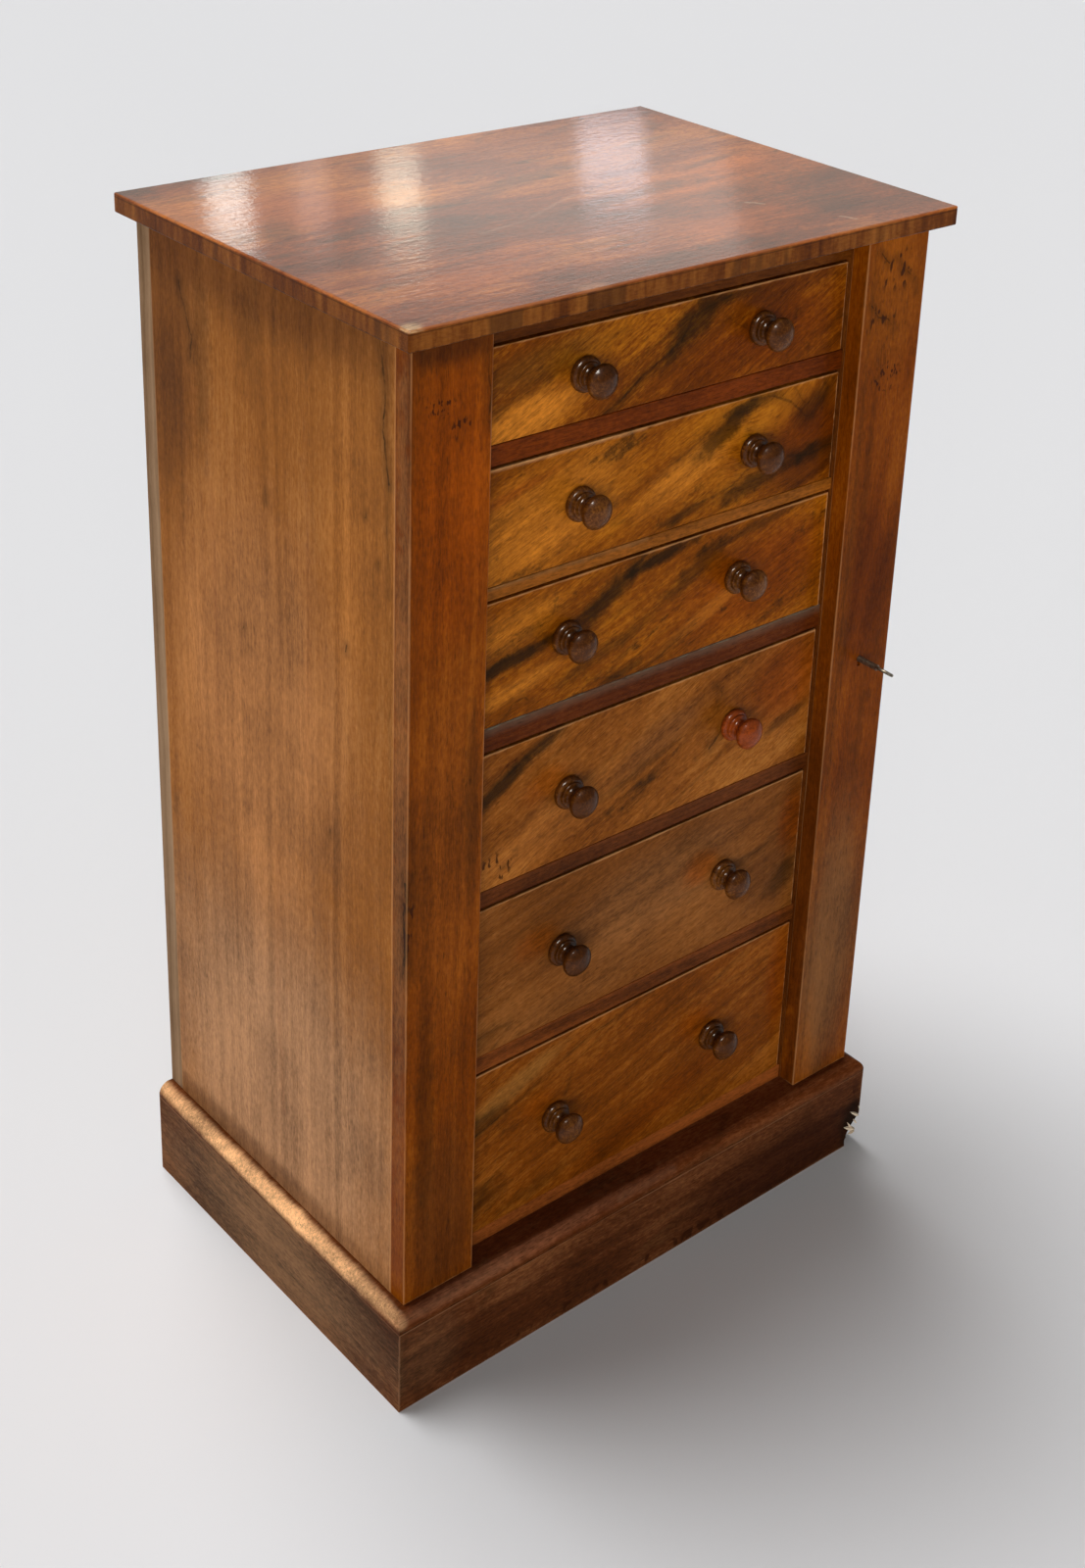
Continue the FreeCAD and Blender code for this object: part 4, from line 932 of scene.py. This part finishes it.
def make_hollow():
    """Return a ragged ball that stands where the corner is broken away."""
    chance = random.Random(HOLLOW_SEED)
    ball = bmesh.new()
    bmesh.ops.create_icosphere(ball, subdivisions=HOLLOW_DIVISIONS, radius=HOLLOW_RADIUS)
    for vertex in ball.verts:
        vertex.co *= 1 + chance.uniform(-HOLLOW_RAGGED, HOLLOW_RAGGED)
        vertex.co += Vector(HOLLOW_AT)
    mesh = bpy.data.meshes.new("hollow")
    ball.to_mesh(mesh)
    ball.free()
    return add_object("hollow", mesh)


def break_corner():
    """Replace the plinth's boards at its front right corner by broken ones."""
    hollow = make_hollow()
    for name in ("plinth_front", "plinth_sides"):
        whole = NODES[name]
        cut = whole.modifiers.new("broken", "BOOLEAN")
        cut.operation = "DIFFERENCE"
        cut.object = hollow
        cut.solver = "EXACT"
        seen = whole.evaluated_get(bpy.context.evaluated_depsgraph_get())
        broken = bpy.data.meshes.new_from_object(seen)
        whole.modifiers.remove(cut)
        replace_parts(add_piece(name + "_broken", broken), name)
    bpy.data.objects.remove(hollow)


# Splinters in the broken corner: tip and root as X and Z in millimetres, and thickness
SPLINTERS = (
    ((291.2, 45.5), (305.6, 34.0), 3.8),
    ((297.5, 33.0), (303.6, 24.5), 2.6),
    ((283.0, 28.5), (300.5, 18.0), 5.2),
    ((288.0, 33.5), (297.5, 19.0), 2.8),
    ((304.6, 48.0), (306.2, 43.0), 1.4),
    ((290.5, 15.6), (301.0, 15.0), 3.8),
)
SPLINTERS_Y = -0.2045
# A splinter's rings from its root on: how far from its tip, and how thick there
SPLINTER_RINGS = ((1.0, 0.55), (0.72, 1.0), (0.34, 0.62))
RING_SIDES = ((0, 1), (1, 2), (2, 3), (3, 0))


def splinter_points(tip, root, thick):
    """Return a splinter's points: four for each ring, and its tip."""
    tip, root = (Vector((x * MM, SPLINTERS_Y, z * MM)) for x, z in (tip, root))
    across = (root - tip).cross((0, 1, 0)).normalized() * thick * MM / 2
    deep = Vector((0, thick * MM / 2, 0))
    points = []
    for share, size in SPLINTER_RINGS:
        middle = tip.lerp(root, share)
        points += [
            middle + (across + deep * 0.4) * size, middle + (across * 0.4 - deep) * size,
            middle - (across + deep * 0.2) * size, middle - (across * 0.3 - deep) * size]
    return points + [tip]


def splinter_faces(first):
    """Return the faces of the splinter whose points start at a number."""
    faces = [
        (ring + a, ring + b, ring + 4 + b, ring + 4 + a)
        for ring in (first, first + 4) for a, b in RING_SIDES]
    faces += [(first + 8 + a, first + 8 + b, first + 12) for a, b in RING_SIDES]
    return faces + [(first + 3, first + 2, first + 1, first)]


def add_splinters():
    """Pale torn wood in the broken corner of the plinth."""
    vertices, faces = [], []
    for splinter in SPLINTERS:
        faces += splinter_faces(len(vertices))
        vertices += splinter_points(*splinter)
    mesh = bpy.data.meshes.new("plinth_splinters")
    mesh.from_pydata(vertices, [], faces)
    mesh.materials.append(wood(
        "torn_wood", dark=rgb(150, 116, 84), middle=rgb(208, 184, 154), light=rgb(236, 222, 200),
        coat=0.0, smoke=rgb(110, 76, 48), rough=0.8))
    add_piece("plinth_splinters", mesh)


FLOOR_REACH = 14.0
FLOOR_COLOUR = rgb(228, 228, 229)


def build_floor():
    """A plain pale floor that keeps the chest's shadow."""
    mesh = bpy.data.meshes.new("floor")
    corners = ((-1, -1), (1, -1), (1, 1), (-1, 1))
    mesh.from_pydata([(x * FLOOR_REACH, y * FLOOR_REACH, 0) for x, y in corners], [], [range(4)])
    mesh.materials.append(Graph("pale_floor").finish(FLOOR_COLOUR, 0.95, Specular_IOR_Level=0.1))
    floor = add_object("floor", mesh)


CAMERA_AT = (-1.2203, -1.4552, 1.6083)
CAMERA_FORWARD = (0.6188, 0.6821, -0.3896)
CAMERA_RIGHT = (0.7526, -0.6569, 0.0455)
CAMERA_LENS = 50.75
CAMERA_SHIFT = (-0.0519, -0.20)

WORLD_LIGHT = 0.14
# Each distant lamp: the azimuth (0 front, 90 right) and elevation it shines from, its strength,
# its width, its colour, and whether gloss shows it; angles are degrees
SUNS = {
    "key": (-165, 69, 2.60, 34, (0.99, 0.99, 1.0), True),
    "fill": (-41, 4, 2.42, 36, (1.0, 0.98, 0.95), False),
}
# Each glowing panel that the top mirrors: how many times further than the top it hangs, where on
# the top it shows and how wide and long, in millimetres, its brightness and its colour
WINDOWS = {
    "haze": (2.5, (0, 0), (900, 900), 0.62, (1.0, 0.84, 0.70)),
    "haze_middle": (2.4, (20, 20), (320, 460), 0.55, (1.0, 0.90, 0.84)),
    "window_white": (2.3, (-236, 160), (36, 180), 4.2, (0.95, 1.0, 0.95)),
    "window_faint": (2.2, (-164, 137), (28, 180), 0.9, (1.0, 0.85, 0.80)),
    "window_warm": (2.1, (-92, 104), (36, 140), 3.4, (1.0, 0.93, 0.72)),
    "window_blue": (2.0, (152, 96), (62, 210), 2.0, (0.84, 0.88, 1.0)),
}
# The panel that lights the knobs: the place it faces, the way back to it, distance, size,
# brightness and colour
SOFTBOX = ((0, -0.2, 0.6), (-0.30, -0.50, 0.81), 3, (1.1, 0.8), 55.0, (1.0, 0.94, 0.86))


def add_sun(name, azimuth, elevation, strength, softness, colour, glossy):
    """Add a distant lamp."""
    lamp = bpy.data.lights.new(name, "SUN")
    lamp.energy = strength
    lamp.angle = math.radians(softness)
    lamp.color = colour
    around, up = math.radians(azimuth), math.radians(elevation)
    source = Vector((
        math.sin(around) * math.cos(up), -math.cos(around) * math.cos(up), math.sin(up)))
    item = add_object(name, lamp)
    item.rotation_euler = source.to_track_quat("Z", "Y").to_euler()
    item.visible_glossy = glossy


def add_panel(name, place, turn, size, brightness, colour):
    """Hang a glowing panel that only gloss shows."""
    wide, long = size
    lamp = bpy.data.lights.new(name, "AREA")
    lamp.shape = "RECTANGLE"
    lamp.size = wide
    lamp.size_y = long
    lamp.energy = brightness * math.pi * wide * long
    lamp.color = colour
    item = add_object(name, lamp)
    item.location = place
    item.rotation_euler = turn
    item.visible_diffuse = False
    item.visible_camera = False


def add_window(name, reach, place, size, brightness, colour):
    """Hang a panel so that the top mirrors it upright at a place."""
    mirrored_eye = Vector((CAMERA_AT[0], CAMERA_AT[1], 2 * TOP_HEIGHT - CAMERA_AT[2]))
    away = Vector((place[0] * MM, place[1] * MM, TOP_HEIGHT)) - mirrored_eye
    turn = (0, 0, math.atan2(away.y, away.x) - math.pi / 2)
    size = [length * MM * reach for length in size]
    add_panel(name, mirrored_eye + away * reach, turn, size, brightness, colour)


def add_softbox(faces, way, distance, size, brightness, colour):
    """Hang a panel that faces a place."""
    way = Vector(way).normalized()
    turn = way.to_track_quat("Z", "Y").to_euler()
    add_panel("softbox", Vector(faces) + way * distance, turn, size, brightness, colour)


def build_world():
    """A weak even light from all around."""
    world = bpy.data.worlds.new("studio")
    world.use_nodes = True
    bpy.context.scene.world = world
    tree = world.node_tree
    tree.nodes.clear()
    output = tree.nodes.new("ShaderNodeOutputWorld")
    plain = tree.nodes.new("ShaderNodeBackground")
    plain.inputs["Color"].default_value = (1.0, 1.0, 1.0, 1.0)
    plain.inputs["Strength"].default_value = WORLD_LIGHT
    tree.links.new(plain.outputs[0], output.inputs["Surface"])


def build_light():
    """Soft studio light from the left and the back, with windows that the top mirrors."""
    build_world()
    for name, sun in SUNS.items():
        add_sun(name, *sun)
    for name, window in WINDOWS.items():
        add_window(name, *window)
    add_softbox(*SOFTBOX)


def build_camera():
    """The photograph's viewpoint, fitted to the chest's corners."""
    data = bpy.data.cameras.new("camera")
    data.sensor_fit = "VERTICAL"
    data.sensor_height = 36.0
    data.lens = CAMERA_LENS
    data.shift_x, data.shift_y = CAMERA_SHIFT
    forward = Vector(CAMERA_FORWARD).normalized()
    right = Vector(CAMERA_RIGHT)
    right = (right - right.project(forward)).normalized()
    turn = Matrix((right, right.cross(forward), -forward)).transposed()
    camera = add_object("camera", data)
    camera.matrix_world = Matrix.Translation(CAMERA_AT) @ turn.to_4x4()
    bpy.context.scene.camera = camera


dress_fronts()
dress_top()
dress_sides()
dress_pilasters()
dress_rails()
dress_plinth()
dress_inside()
dress_small()
break_corner()
add_splinters()
build_floor()
build_light()
build_camera()
bpy.context.scene.view_settings.view_transform = "Standard"
